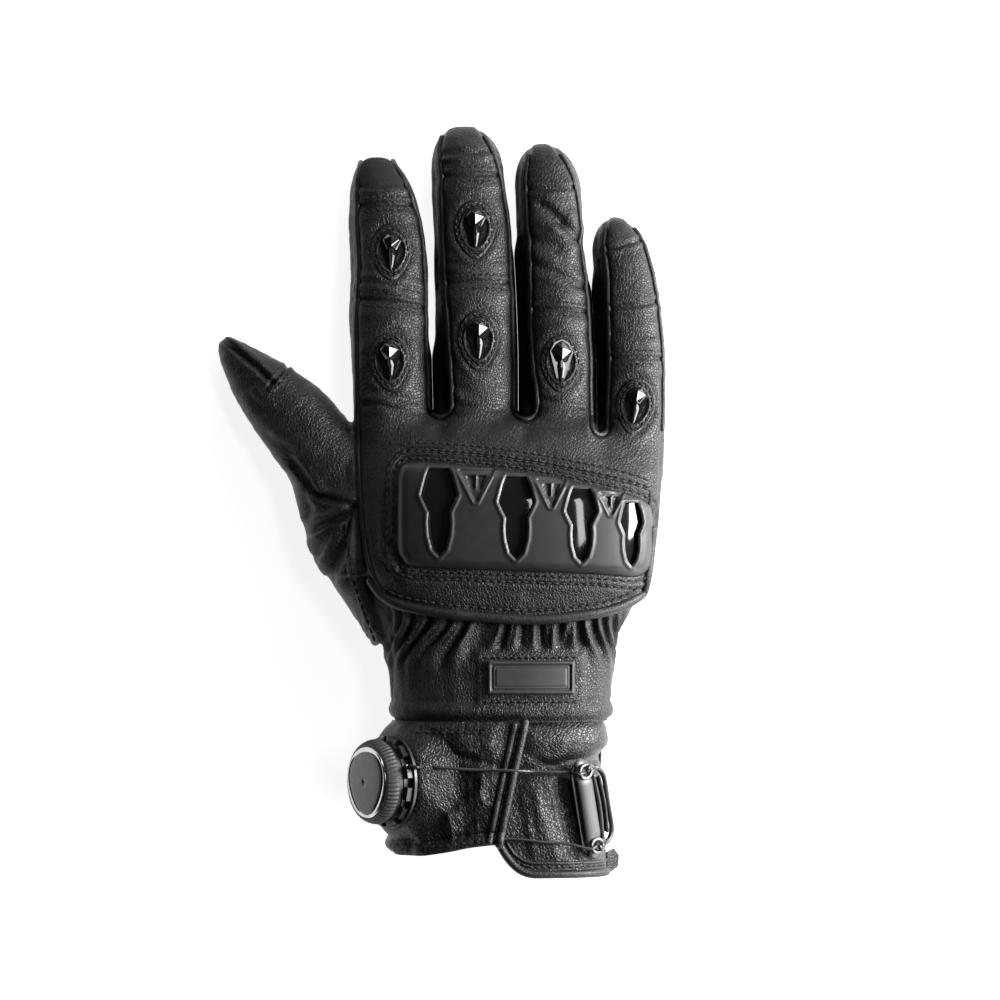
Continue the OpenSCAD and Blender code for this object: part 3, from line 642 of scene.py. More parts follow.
def skin_base():
    """The bare hand form: hand, fingers and thumb lofted, fused into one surface and relaxed."""
    pile = Pile()
    t = np.arange(96) / 96 * TAU
    ys = np.concatenate([np.arange(-74, 22.1, 1.5), 22 + 6.5 * np.sin(np.radians(np.arange(12, 91, 13)))])
    rings = []
    for y in ys:
        c = section(min(y, 24), np.degrees(t))
        k = 1.0 if y < 22 else max(0.12, 1 - ((y - 22) / 6.6) ** 2) ** 0.4
        mid = c.mean(0)
        c[:, 0] = mid[0] + (c[:, 0] - mid[0]) * (0.9 + 0.1 * k)
        c[:, 2] = mid[2] + (c[:, 2] - mid[2]) * k
        c[:, 1] = y - 4.6 * step(c[:, 0], 48.6, 52) * step(y, 8, 20)
        rings.append(c)
    pile.add(*rings_mesh(np.array(rings)))
    for f in FINGERS.values():
        ys = np.concatenate([np.arange(8, f["round"], 1.5),
                             f["round"] + (f["tip"] - f["round"]) * np.sin(np.radians(np.arange(0, 90,
                                     8)))])
        x, w, z, h = finger_size(f, ys)
        R = np.stack([x[:, None] + w[:, None] * spow(np.cos(t), STAND), np.repeat(ys[:, None], len(t), 1),
                      z[:, None] + h[:, None] * spow(np.sin(t), STAND)], -1)
        pile.add(*rings_mesh(R))
    s = np.concatenate([np.arange(-34, 62, 1.5), 62 + 14.9 * np.sin(np.radians(np.arange(0, 90, 8)))])
    x, w, z, h = thumb_size(s)
    a = x[:, None] + w[:, None] * spow(np.cos(t), STAND)
    R = THUMB_O + s[:, None, None] * TU + a[..., None] * TV
    R[..., 2] = z[:, None] + h[:, None] * spow(np.sin(t), STAND)
    pile.add(*rings_mesh(R))
    o = pile.build("skin_base", None)
    bpy.context.view_layer.update()
    r = o.modifiers.new("fuse", "REMESH")
    r.mode = "VOXEL"
    r.voxel_size = 0.0007
    k = o.modifiers.new("relax", "SMOOTH")
    k.factor, k.iterations = 0.5, 12
    e = o.evaluated_get(bpy.context.evaluated_depsgraph_get()).data
    V = np.zeros(len(e.vertices) * 3, np.float32)
    e.vertices.foreach_get("co", V)
    V = V.reshape(-1, 3).astype(float) * 1000
    e.calc_loop_triangles()
    T = np.zeros(len(e.loop_triangles) * 3, np.int32)
    e.loop_triangles.foreach_get("vertices", T)
    bpy.data.objects.remove(o)
    return V, T.reshape(-1, 3).astype(int)


P, T = skin_base()
N = vertex_normals(P, T)

# The lines between neighbouring fingers, as X against Y, and the Y where each finger leaves the hand
LANE_X = [[(20, -2.4), (45, -3.0), (76, -3.5), (95, -4.3), (123, -5)],
          [(20, 25.3), (45, 25.3), (60, 24.9), (70, 24.5), (80, 23.9), (90, 23.2), (106, 22.2),
           (123, 21.6)],
          [(20, 51.2), (45, 50.9), (60, 50), (70, 49.3), (78, 48.5), (88, 48), (95, 47.9), (123, 47.5)]]
NAMES = list(FINGERS)
STARTS = (26.0, 26.0, 26.0, 21.9)

# The stitched left and right edges of the back panel along each finger, as X against Y
PANEL = [
    ([(-36, -14.5), (-31, -17), (-22, -22), (-10, -24.8), (8, -26.4), (20, -26.8), (60, -27.4), (76, -26.6),
      (90, -27.3), (102, -27.2), (110, -26.6), (116, -25)],
     [(20, -4.2), (45, -4.9), (76, -5.7), (90, -7), (100, -10), (108, -13.8), (114.5, -17.5)]),
    ([(20, 3.9), (32, 3.8), (45, 3.2), (78, 1.2), (94, 0.5), (108, 0.2), (116, -0.4), (122, 1.5)],
     [(20, 23.2), (45, 23.5), (70, 22.6), (85, 22.2), (95, 21.2), (106, 19.4), (114, 17), (122, 12.5)]),
    ([(20, 31.7), (32, 31.6), (45, 30.4), (60, 29.4), (78, 29.4), (94, 28.2), (106, 27.8), (116, 29)],
     [(20, 49), (45, 48.5), (60, 48), (70, 47.2), (80, 46), (88, 45.4), (95, 45.2), (103, 44), (108, 42.3),
      (112, 40), (117, 36.5)]),
    ([(18, 54.6), (32, 54.8), (45, 55.4), (60, 55), (76, 54.4), (85, 53.4), (92, 54.5)],
     [(-40, 57.6), (-30, 65), (-19, 68.7), (0, 70.7), (14, 71.6), (32, 72.4), (45, 72.3), (60, 71.4),
      (69, 70.2), (76, 68.7), (85, 66), (93, 60.5)]),
]
# The Y where the gaps between the fingers end, the lower hem as Y against X, and the guard's outline
CROTCH = [31.6, 30.8, 24.6]
HEM = [(-24, -24), (-19, -31), (-12, -34.5), (8, -37.5), (30, -38.8), (52, -36.5), (62, -33), (68, -28.5)]
GUARD_TOP = [(-14, 9), (-12.6, 12), (-9, 13.2), (10, 12), (30, 9.4), (50, 5.4), (62, 2.6), (66.5, 0.6),
             (68.8, -3.5)]
GUARD_LOW = [(-14, -14), (-12.4, -18.6), (-8, -21), (20, -22.2), (50, -23.4), (62, -24.4), (66.6, -23),
             (68.8, -18)]
# The stitched seam above the guard
GUARD_ARC = [(-16, 15.4), (-9, 17.2), (10, 16.2), (30, 13.6), (50, 9.8), (62, 7), (70, 4)]
GUARD_EDGE = spline(GUARD_TOP + GUARD_LOW[::-1] + GUARD_TOP[:1], 1.2)[:-1]
# Tuck seams: lane, Y at the finger's left and right, depth
TUCKS = [(0, 66.4, 63.2, 1.0), (0, 96.6, 97.2, 1.0), (1, 70.9, 71.6, 0.9), (1, 106, 107, 1.0),
         (2, 62.6, 62, 1.0), (3, 46.4, 46.8, 0.9)]
# Smaller creases in the leather: two ends, width, depth
CREASES = [((33, 97), (39.5, 91.5), 1.3, 1.0), ((39.5, 91.5), (45.5, 84.5), 1.2, 1.1),
           ((28, 86.5), (38, 83), 1.8, 0.8), ((38, 74.6), (46.5, 70.4), 1.0, 0.7),
           ((29.5, 78), (36, 76), 1.2, 0.4), ((-27, 72.6), (-8, 69), 0.8, 0.5),
           ((56.4, 63.6), (70.6, 65.6), 0.7, 0.6), ((0.6, 113.6), (20, 115), 0.7, 0.4),
           ((1, 110.6), (20, 112), 0.7, 0.35), ((28.6, 102.3), (42.6, 103), 0.6, 0.6),
           ((-27.4, 103), (-10, 103.4), 0.6, 0.6),
           ((53.4, 82), (65.4, 85.6), 0.6, 0.6), ((-16.5, -13.5), (-12.4, -22), 0.9, 0.6),
           ((-18.5, -19), (-13.5, -25), 0.8, 0.5),
           ((2, 39), (8, 36.6), 1.1, 0.35), ((13, 33), (21, 31.4), 0.9, 0.4),
           ((6, 31.5), (19, 29.8), 0.8, 0.35), ((34, 33), (45, 31), 0.9, 0.35),
           ((-22, 36), (-10, 32.8), 0.9, 0.4), ((-23, 31.8), (-9, 29), 0.8, 0.35),
           ((3, 78), (12, 76.6), 0.8, 0.3), ((-24, 76), (-12, 74.4), 0.8, 0.3),
           ((58, 55), (69, 54.4), 0.9, 0.25), ((57, 27), (66, 24.5), 0.9, 0.3)]
# Seams and folds of the thumb: two ends, width, depth
FOLDS = [((-70.5, 52.4), (-55.4, 39.2), 0.7, 1.1), ((-55.8, 38.2), (-49.4, 46), 0.6, 0.9),
         ((-48.5, 13), (-40, 2.2), 1.0, 0.9), ((-40, 2.2), (-29, -0.8), 0.9, 1.0),
         ((-28.6, -2.6), (-41, -9), 1.1, 1.3), ((-29, -4.2), (-41, -16), 1.4, 1.6),
         ((-29.4, -8), (-36.5, -25), 1.5, 1.3), ((-44, 4), (-43, -4), 1.4, 0.6),
         ((-62, 34), (-57, 30), 1.2, 0.5), ((-57, 22), (-50, 17.5), 1.5, 0.5)]
# Studs: centre X and Y of the surround, its half width and half length
STUDS = [("stud_index_base", -16.7, 45.8, 6.7, 9.6), ("stud_index_middle", -16.3, 81.8, 6.7, 9.4),
         ("stud_middle_base", 12.2, 52.8, 6.8, 9.9),
         ("stud_middle_middle", 11.1, 89.2, 6.9, 9.7), ("stud_ring_base", 39.2, 45.3, 6.8, 9.5),
         ("stud_little_base", 63.4, 31.4, 6.5, 9.3)]


def lane(x, y):
    """Which finger's lane a point is in, from 0, the index finger, to 3."""
    return sum((x > tab(y, c)).astype(int) for c in LANE_X)


def panel_room(x, y):
    """Distance from a point on the back, in plan, to the edge of the back panel: positive on the panel."""
    f = np.minimum(x - tab(y, PANEL[0][0]), tab(y, PANEL[3][1]) - x)
    for k in range(3):
        a, b, yc = PANEL[k][1], PANEL[k + 1][0], CROTCH[k]
        l, r = float(tab(yc, a)), float(tab(yc, b))
        up = np.maximum(tab(y, a) - x, x - tab(y, b))
        low = np.hypot(x - (l + r) / 2, y - yc) - (r - l) / 2
        f = np.minimum(f, np.where(y > yc, up, low))
    return f


def middle_z(p):
    """Height of the widest line of the form at each point, and half the form's height there."""
    x, y = p[:, 0], p[:, 1]
    zc, hh = (tab(y, UNDER) + tab(y, BACK)) / 2, (tab(y, BACK) - tab(y, UNDER)) / 2
    for k, f in enumerate(FINGERS.values()):
        _, _, z, h = finger_size(f, y)
        w = step(y, STARTS[k] - 8, STARTS[k] + 2) * (lane(x, y) == k)
        zc, hh = zc + w * (z - zc), hh + w * (h - hh)
    s, v, _ = thumb_frame(p)
    _, _, z, h = thumb_size(s)
    w = step(-28.5 - x, 0, 3)
    return zc + w * (z - zc), hh + w * (h - hh)


def line_field(x, y, a, b):
    """Signed distance across the line from a to b, and how far past its ends a point is."""
    a, b = np.array(a, float), np.array(b, float)
    d = (b - a) / np.linalg.norm(b - a)
    u = (x - a[0]) * d[0] + (y - a[1]) * d[1]
    v = (y - a[1]) * d[0] - (x - a[0]) * d[1]
    return v, np.maximum(0, np.maximum(-u, u - np.linalg.norm(b - a)))


def egg_width(v, w):
    """Half width of an egg-shaped outline at v, from -1 at its foot to 1 at its top."""
    return w * np.where(v > 0.15, 1.0, 1 - 0.3 * (np.clip(0.15 - v, 0, 1.3) / 1.15) ** 1.5)


def egg(x, y, cx, cy, w, h):
    """Rough distance inside an egg-shaped outline, wide above and pointed below."""
    v = (y - cy) / h
    return (1 - np.hypot((x - cx) / egg_width(v, w), v)) * w


def waves(x, parts):
    """A sum of humps, each with its height, place and width."""
    return sum(high * bump(x - at, wide) for high, at, wide in parts)


def crease(x, side, wide):
    """A sharp dip with a soft ridge on each side of it."""
    return waves(x, [(-1, 0, 1), (0.5, side, wide), (0.5, -side, wide)])


# The leather's shape across a tuck seam, and across the border round the guard
TUCK = [(-0.95, 0, 0.6), (0.34, 1.3, 0.8), (-0.2, -1.9, 0.5), (-0.2, 2.5, 0.5), (0.4, -4, 2), (0.3, 4.6, 2)]
BORDER = [(0.55, -2.1, 0.7), (0.3, -4.6, 1.2), (-0.25, -1.1, 0.45), (-0.25, -3.3, 0.45)]


def relief(p, n):
    """How far the leather stands out from the bare form, in mm."""
    x, y, z = p.T
    zc, hh = middle_z(p)
    back = step(n[:, 2], -0.05, 0.35) * step((z - zc) / hh, -0.1, 0.25)
    k = lane(x, y)
    s, v, _ = thumb_frame(p)
    on_thumb = step(-29.0 - x, 0, 1.5)
    on_hand = 1 - on_thumb
    d = 0.22 * noise(p, 11, 1) + 0.12 * noise(p, 5, 2) + 0.05 * noise(p, 2.4, 3)
    f = panel_room(x, y)
    hem = tab(x, HEM)
    panel = back * on_hand * step(y - hem, -0.3, 0.3)
    d = d + panel * (0.55 * step(f, 0, 1.8) - 0.45 * bump(f, 0.9))
    # the sides of the fingers sink between the edges of the back panel
    gap = back * on_hand * step(-f, 0.6, 3) * step(y, 20, 26)
    d = d - 1.1 * gap
    for g in range(3):
        a, b = float(tab(CROTCH[g], PANEL[g][1])), float(tab(CROTCH[g], PANEL[g + 1][0]))
        q = np.hypot(x - (a + b) / 2, (y - CROTCH[g] - 1) * 0.8)
        d = d - 1.6 * back * bump(q, (b - a) * 0.42) * step(-f, 0, 1.5)
        d = d - 0.6 * back * bump(np.hypot(x - (a + b) / 2, y - CROTCH[g] + 8.5), 3.2) * (y < CROTCH[g] - 2)
    # tuck seams with puffed leather between them
    for q, yl, yr, deep in TUCKS:
        fi = FINGERS[NAMES[q]]
        l, r = tab(y, fi["left"]), tab(y, fi["right"])
        u = np.clip((x - l) / (r - l), 0, 1)
        dy = y - (yl + (yr - yl) * u + 0.7 * (1 - (2 * u - 1) ** 2))
        m = panel * (k == q) * step(f, -0.4, 0.8)
        d = d + m * deep * waves(dy, TUCK)
        side = back * on_hand * (k == q) * step(-f, -0.2, 0.8)
        d = d - side * 0.35 * bump(dy, 1.2) + side * 0.25 * bump(dy - 3, 1.6)
    for q, fi in enumerate(FINGERS.values()):
        m = panel * (k == q) * step(y, STARTS[q], STARTS[q] + 8)
        d = d + m * 0.16 * noise(np.stack([x, y * 2.4, z], 1), 5, 7)
    for a, b, w, deep in CREASES:
        v1, out = line_field(x, y, a, b)
        m = back * on_hand * bump(out, 1.6)
        v1 = v1 + 0.5 * noise(np.stack([x, y, x * 0], 1), 5, 11)
        d = d + m * deep * crease(v1 / w, 2.6, 1.5)
    # the leather dips under each stud's surround
    for _, cx, cy, w, h in STUDS:
        e = egg(x, y, cx, cy, w, h)
        d = d - 0.4 * back * step(e, -1, 1) + 0.25 * back * bump(e + 1.8, 1.2)
    # round the guard: a padded border with two lines of stitching
    near = (x > -22) & (x < 76) & (y > -34) & (y < 24)
    g = np.full(len(x), -30.0)
    g[near] = poly_sdf(p[near, :2], GUARD_EDGE)
    d = d + panel * (-0.5 * step(g, -0.4, 0.8) + waves(g, BORDER))
    arc = y - tab(x, GUARD_ARC)
    d = d + panel * step(x, -17, -14) * waves(arc, [(-0.3, 0, 0.5), (-0.3, 2.2, 0.5), (0.15, 1.1, 0.5)])
    # the hem stands over the wrist, and the wrist is gathered in pleats
    hy = y - hem
    d = d + back * on_hand * (0.9 * step(hy, -0.2, 0.4) * (1 - step(hy, 6, 14) * 0.55)
                              - 0.35 * bump(hy - 3.9, 0.5)) * step(y, -46, -26)
    wrist = (y < -24) & (y > -74)
    drop = np.clip(tab(y, BACK) - 2.5 - z, 0, 40)
    mid = (tab(y, LEFT) + tab(y, RIGHT)) / 2
    arcx = x + np.sign(x - mid) * drop * 0.9
    fan = 0.40 * step(-y, 37, 55)
    xt = 30 + (arcx - 30) / (1 + fan)
    wob = 1.5 * noise(np.stack([xt * 0.6, y * 0.5, z * 0.3], 1), 6, 21)
    ph = (xt + wob) / 6.0 * TAU
    c1 = 0.5 + 0.5 * np.cos(ph)
    ridge = c1 ** 0.75 - 0.55 + 0.22 * np.cos(1.9 * ph + 2.2 * wob + 1) * between(-y, 37, 40, 43, 50)
    size = 1 + 0.55 * noise(np.stack([xt, y * 0.1, 0 * x], 1), 5, 25)
    reach = 51 + 6 * noise(np.stack([xt, 0 * x, 0 * x], 1), 4, 26) + 4 * step(-xt, -12, 4)
    patch = step(np.maximum(np.abs(x - 29.2) - 17.6, np.abs(y + 57) - 8.6), -0.4, 2.4)
    amp = size * (1.5 * step(-y, 34, 38) * (1 - step(-y, 44, reach + 6))
                  + 0.15 * between(-y, 36, 44, 58, 66))
    under_hem = step(-hy, -0.4, 0.3)
    top_side = step(z, 8, 20)
    amp = amp * (1 - 0.75 * step(-x, 13, 17) * (1 - step(-y, 46, 52)))
    d = d + wrist * under_hem * (top_side * patch * amp * ridge
                                 - 0.75 * step(-hy, -0.4, 0.6) * (1 - step(-y, 44, 52)) * top_side)
    d = d + wrist * (1 - top_side) * 0.5 * between(-y, 34, 40, 58, 66) * np.cos(x / 4.2 * TAU) * 0.7
    raised = 1 - step(np.maximum(np.abs(x - 29.2) - 17.4, np.abs(y + 57) - 8.3), -0.6, 0.6)
    fine = 0.12 * noise(np.stack([arcx, y * 0.45, z], 1), 2.2, 23) * patch
    d = d + wrist * under_hem * top_side * (0.5 * raised + fine)
    # the band's lower edge is rolled
    d = d + wrist * (0.9 * bump(y + 67.6, 2.0) - 1.0 * step(-y, 69.4, 70.6) - 0.35 * bump(y + 64.4, 0.7))
    # the thumb: a seam over each joint, wrinkles fanning from the corner of the palm, soft lumps
    top = step(n[:, 2], -0.2, 0.4)
    d = d + on_thumb * (0.35 * noise(np.stack([s * 1.6, v, z], 1), 9, 31)
                        + 0.16 * noise(np.stack([s * 2.6, v, z], 1), 4.5, 32))
    for a, b, w, deep in FOLDS:
        v1, out = line_field(x, y, a, b)
        v1 = v1 + 0.5 * noise(np.stack([x, y, x * 0], 1), 6, 35)
        d = d + step(-x, 26, 29) * top * bump(out, 1.8) * deep * crease(v1 / w, 2.4, 1.4)
    line, out = line_field(x, y, (-70, 52), (-55.4, 39.2))
    d = d + on_thumb * top * (0.5 * step(line, 0.2, 1.0) * step(s, 54, 56)
                              + 0.25 * bump(s - 54.5, 1.2) * step(line, -0.5, 0.5))
    a, r = np.arctan2(y + 2, x + 27.5), np.hypot(x + 27.5, y + 2)
    wr = (0.5 + 0.5 * np.cos(a * 11 + 0.05 * r + 0.8 * noise(p, 8, 33))) ** 1.6 - 0.35
    d = d + 1.1 * wr * between(r, 2, 7, 15, 26) * ((a < -1.7) | (a > 3.0)) * step(-x, 25.5, 28.5) * top
    # the stretch gusset lies lower than the leather on both sides
    gus = np.minimum(tab(y, PANEL[0][0]) - x - 0.6, x - tab(y, GUSSET_LEFT))
    d = d - 0.9 * back * step(gus, 0, 1.4) * step(-y, 2, 6)
    d = d + 0.45 * back * bump(x - tab(y, GUSSET_LEFT) + 1.2, 1.0) * step(-y, 2, 6)
    # palm side: creases across the fingers and the palm
    low = step(-n[:, 2], 0.1, 0.5)
    for q, fi in enumerate(FINGERS.values()):
        for yy in (fi["root"], *fi["seams"]):
            for o in (-2.2, 0.4, 2.8):
                d = d - low * (k == q) * on_hand * 0.4 * bump(y - yy - o - 0.02 * (x - 20), 0.6) * step(y,
                        18, 24)
    d = d - low * on_hand * 0.5 * (bump(y - 16 - 0.2 * x + 0.004 * (x - 20) ** 2, 0.9)
                                   + bump(y + 2 - 0.35 * x, 1.0)) * step(y, -30, -20)
    return d


# The stretch gusset's thumb side, as X against Y
GUSSET_LEFT = [(-56, -16.8), (-52, -17.4), (-44, -20), (-34.5, -23.6), (-19, -28), (-4, -29), (2, -29)]


def smooth(P, T, weight, rounds):
    """Relax the points of a mesh by weight from 0 to 1."""
    e = np.vstack([T[:, [0, 1]], T[:, [1, 2]], T[:, [2, 0]]])
    busy = weight[e[:, 0]] > 0
    e = e[busy]
    n = np.maximum(np.bincount(e[:, 0], minlength=len(P)), 1)
    P = P.copy()
    for _ in range(rounds):
        for c in range(3):
            m = np.bincount(e[:, 0], P[e[:, 1], c], minlength=len(P)) / n
            P[:, c] += weight * 0.9 * (m - P[:, c])
    return P


# the knuckles run smoothly into the hand
w = between(P[:, 1], 8, 18, 38, 48) * step(N[:, 2], 0.2, 0.6)
w = w * step(panel_room(P[:, 0], P[:, 1]), 0.6, 3) * step(P[:, 2], 18, 22)
P = smooth(P, T, w, 90)
N = vertex_normals(P, T)
Q = P + N * relief(P, N)[:, None]
# the sides of neighbouring fingers lean on each other near the hand
zc, hh = middle_z(P)
rel = (P[:, 2] - zc) / hh
for k, end in enumerate((47, 80, 69)):
    lx = tab(P[:, 1], LANE_X[k])
    room_k = lx - Q[:, 0]
    w = between(P[:, 1], 21, 24, end, end + 9) * step(rel, -1.0, -0.7)
    w = w * (1 - step(rel, -0.05, 0.5)) * step(np.abs(N[:, 0]), 0.3, 0.7)
    for side in (1, -1):
        m = (side * (lx - P[:, 0]) > 0) & (np.abs(room_k) < 4)
        push = side * np.maximum(side * room_k - 0.06, 0) * w
        Q[:, 0] += np.where(m, push, 0)
        crossed = side * room_k < 0.05
        Q[:, 0] = np.where(m & crossed & (P[:, 1] > 22), lx - side * 0.05, Q[:, 0])
NQ = vertex_normals(Q, T)
A = np.hstack([Q, NQ, P, N])
TREE = BVHTree.FromPolygons(Q.tolist(), T.tolist(), epsilon=0.0)


def ground(x, y, lift=0.0):
    """The point of the leather under (x, y) seen from above, lifted along its normal."""
    hit, n = seen_from_above(TREE, x, y)
    if hit is None:
        return np.array([x, y, 3.0 + lift]), np.array([0.0, 0, 1])
    return np.array(hit) + np.array(n) * lift, np.array(n)


def owner(p):
    """The name of the piece of leather that a point belongs to."""
    x, y = p[0], p[1]
    if x < THUMB_X:
        s = (np.asarray(p) - THUMB_O) @ TU
        if s > THUMB_ROOT:
            return "thumb_tip" if s > THUMB_MID else "thumb_base"
    if y < GATHER_END:
        return "wrist_band"
    if y < -24 and y < float(tab(x, HEM)):
        return "wrist_gather"
    k = int(lane(np.array([x]), np.array([y]))[0])
    if y < STARTS[k]:
        return "hand"
    a, b = FINGERS[NAMES[k]]["seams"]
    return NAMES[k] + ("_base" if y < a else "_middle" if y < b else "_tip")


def fix(o, body, *nodes):
    """Make a piece move with a body, and stand for some of the CAD's nodes."""
    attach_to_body(o, body)
    if nodes:
        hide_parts(*nodes)


def attach(o, who):
    """Tie a piece to the hand's body, or to the cuff's for the wrist band; pieces of the gathers, the thumb
    and the fingers only have their transform baked into their points.
    """
    if who == "hand":
        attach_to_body(o, "hand")
    elif who == "wrist_band":
        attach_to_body(o, "cuff")
    elif who == "wrist_gather":
        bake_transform(o)
    elif who.startswith("thumb"):
        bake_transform(o)
    else:
        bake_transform(o)


def cut(*fs):
    """Clip the skin by several fields of its undisplaced points."""
    t, a = T, A
    for f in fs:
        t, a = clip(t, a, f(a[:, 6:9], a[:, 9:12]))
    return t, a


def skin_piece(name, who, mat, fs, nodes=()):
    t, a = cut(*fs)
    o = shell(name, t, a[:, :3], unit(a[:, 3:6]), SKIN, mat)
    attach(o, who)
    for n in nodes:
        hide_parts(n)


def in_lane(k):
    """The fields that keep finger k's lane."""
    lo = (lambda y: tab(y, LANE_X[k - 1])) if k else (lambda y: THUMB_X)
    hi = (lambda y: tab(y, LANE_X[k])) if k < 3 else (lambda y: 200)
    return [lambda p, n: p[:, 0] - lo(p[:, 1]), lambda p, n: hi(p[:, 1]) - p[:, 0]]


def above(y):
    return lambda p, n: p[:, 1] - y


def below(y):
    return lambda p, n: y - p[:, 1]


hem_at = lambda p: tab(p[:, 0], HEM)


def gusset_room(p):
    """Positive on the stretch gusset between the thumb and the hand."""
    x, y = p[:, 0], p[:, 1]
    return np.minimum(np.minimum(tab(y, PANEL[0][0]) - x, x - tab(y, GUSSET_LEFT)), -2 - y)



def hand_field(p, n):
    """Positive above the hem line on the back, and above the same place on the palm."""
    up = step(p[:, 2], 12, 20)
    return p[:, 1] - (up * np.maximum(hem_at(p), -39.5) + (1 - up) * -37)


def thumb_cut(p, n):
    """Positive off the thumb's two links."""
    s = thumb_frame(p)[0]
    return np.maximum(THUMB_ROOT - s, p[:, 0] - THUMB_X)


t, a = cut(hand_field, thumb_cut, below(STARTS[0]))
# the little finger's lane ends further back
f1 = np.maximum(tab(a[:, 7], LANE_X[2]) - a[:, 6], STARTS[3] - a[:, 7])
t, a = clip(t, a, f1)
gus = lambda a: np.where(a[:, 8] > middle_z(a[:, 6:9])[0] - 1, gusset_room(a[:, 6:9]), -5.0)
tg, ag = clip(t, a, gus(a))
th, ah = clip(t, a, -gus(a))
hand = shell("hand_leather", th, ah[:, :3], unit(ah[:, 3:6]), SKIN, LEATHER)
gusset = shell("gusset_stretch", tg, ag[:, :3], unit(ag[:, 3:6]), SKIN, STRETCH)
for o in (hand, gusset):
    attach(o, "hand")
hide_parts("hand_back", "palm_panel", "thumb_saddle")
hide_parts("thumb_gusset")
lining = shell("hand_lining_knit", t, a[:, :3] - unit(a[:, 3:6]) * 1.35, unit(a[:, 3:6]), 0.5, LINING)
attach(lining, "hand")
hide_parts("hand_lining")

# Caps on two fingertips: Y of the edge, its slope from an X, and the material
CAPS = {"index": (103.2, 0, 0, SUEDE), "little": (82.2, 0.31, 53.6, THUMB)}
for k, name in enumerate(NAMES):
    first, second = FINGERS[name]["seams"]
    lanes = in_lane(k)
    skin_piece(name + "_base_leather", name + "_base", LEATHER, lanes + [above(STARTS[k]), below(first)],
               nodes=(name + "_base",))
    skin_piece(name + "_middle_leather", name + "_middle", LEATHER, lanes + [above(first), below(second)],
               nodes=(name + "_middle",))
    tip = lanes + [above(second)]
    if name in CAPS:
        y0, slope, x0, mat = CAPS[name]

        def cap(p, n):
            """Positive on the cap over the end of the finger."""
            room = panel_room(p[:, 0], p[:, 1]) + 0.2
            edge = p[:, 1] - (y0 + slope * (p[:, 0] - x0))
            return np.minimum(edge, np.minimum(room, p[:, 2] - middle_z(p)[0] + 3))

        skin_piece(name + "_cap", name + "_tip", mat, tip + [cap])
        tip = tip + [lambda p, n: -cap(p, n)]
    skin_piece(name + "_tip_leather", name + "_tip", LEATHER, tip, nodes=(name + "_tip",))
on_thumb = [lambda p, n: THUMB_X - p[:, 0]]
for who, f in (("thumb_base", [lambda p, n: thumb_frame(p)[0] - THUMB_ROOT, lambda p,
                               n: THUMB_MID - thumb_frame(p)[0]]),
               ("thumb_tip", [lambda p, n: thumb_frame(p)[0] - THUMB_MID])):
    skin_piece(who + "_leather", who, THUMB, on_thumb + f, nodes=(who,))


def under_gusset(p, n):
    """Positive on the part of the gathers that carries the thumb's gusset on down."""
    right = -11 + 0.45 * (p[:, 1] + 40) - p[:, 0]
    return np.minimum(np.minimum(p[:, 0] - tab(p[:, 1], GUSSET_LEFT), right), p[:, 2] - middle_z(p)[0] + 1)


gathers = [lambda p, n: -hand_field(p, n), above(GATHER_END)]
skin_piece("wrist_gusset", "wrist_gather", STRETCH, gathers + [under_gusset])
skin_piece("wrist_gathers", "wrist_gather", LEATHER, gathers + [lambda p, n: -under_gusset(p, n)],
           nodes=("wrist_gather", "wrist_palm_gather", "wrist_elastic"))
skin_piece("wrist_band_leather", "wrist_band", LEATHER, [below(GATHER_END), above(BAND_END)],
           nodes=("wrist_band",))


# ---------------------------------------------------------------- edges and stitches
def runs(points, who=owner):
    """Split a chain of points into stretches that belong to one piece of leather each."""
    names = [who(p) for p in points]
    out, i = [], 0
    while i < len(points) - 1:
        j = i
        while j + 1 < len(points) and names[j + 1] == names[i]:
            j += 1
        if j + 1 < len(points) or j > i:
            out.append((names[i], points[i:j + 2]))
        i = j + 1
    return out


STITCHES = {}


def stitch(a, b, who, r=0.33, bow=0.2):
    """One stitch from a to b, a capsule that bows up a little."""
    a, b = np.asarray(a, float), np.asarray(b, float)
    up = np.array([0, 0, 1.0])
    p = np.array([a + (b - a) * u + up * bow * math.sin(math.pi * u) for u in (0, 0.25, 0.5, 0.75, 1)])
    STITCHES.setdefault(who, Pile()).tube(p, r * np.array([0.75, 1, 1.05, 1, 0.75]), sides=6)


def stitch_row(path, lift=0.12, pitch=2.7, length=1.75, who=None, r=0.33, drape=True):
    """Stitches along a path drawn in plan, laid on the leather."""
    p = resample(np.asarray(path, float), 0.25)
    s = np.arange(pitch * 0.5, (len(p) - 1) * 0.25 - length / 2, pitch)
    for c in s:
        i, j = max(0, int((c - length / 2) / 0.25)), min(len(p) - 1, int((c + length / 2) / 0.25))
        if drape:
            a, b = ground(*p[i][:2], lift)[0], ground(*p[j][:2], lift)[0]
        else:
            a, b = p[i], p[j]
        if np.linalg.norm(a - b) > 2 * length:
            continue
        stitch(a, b, who or owner((a + b) / 2), r)


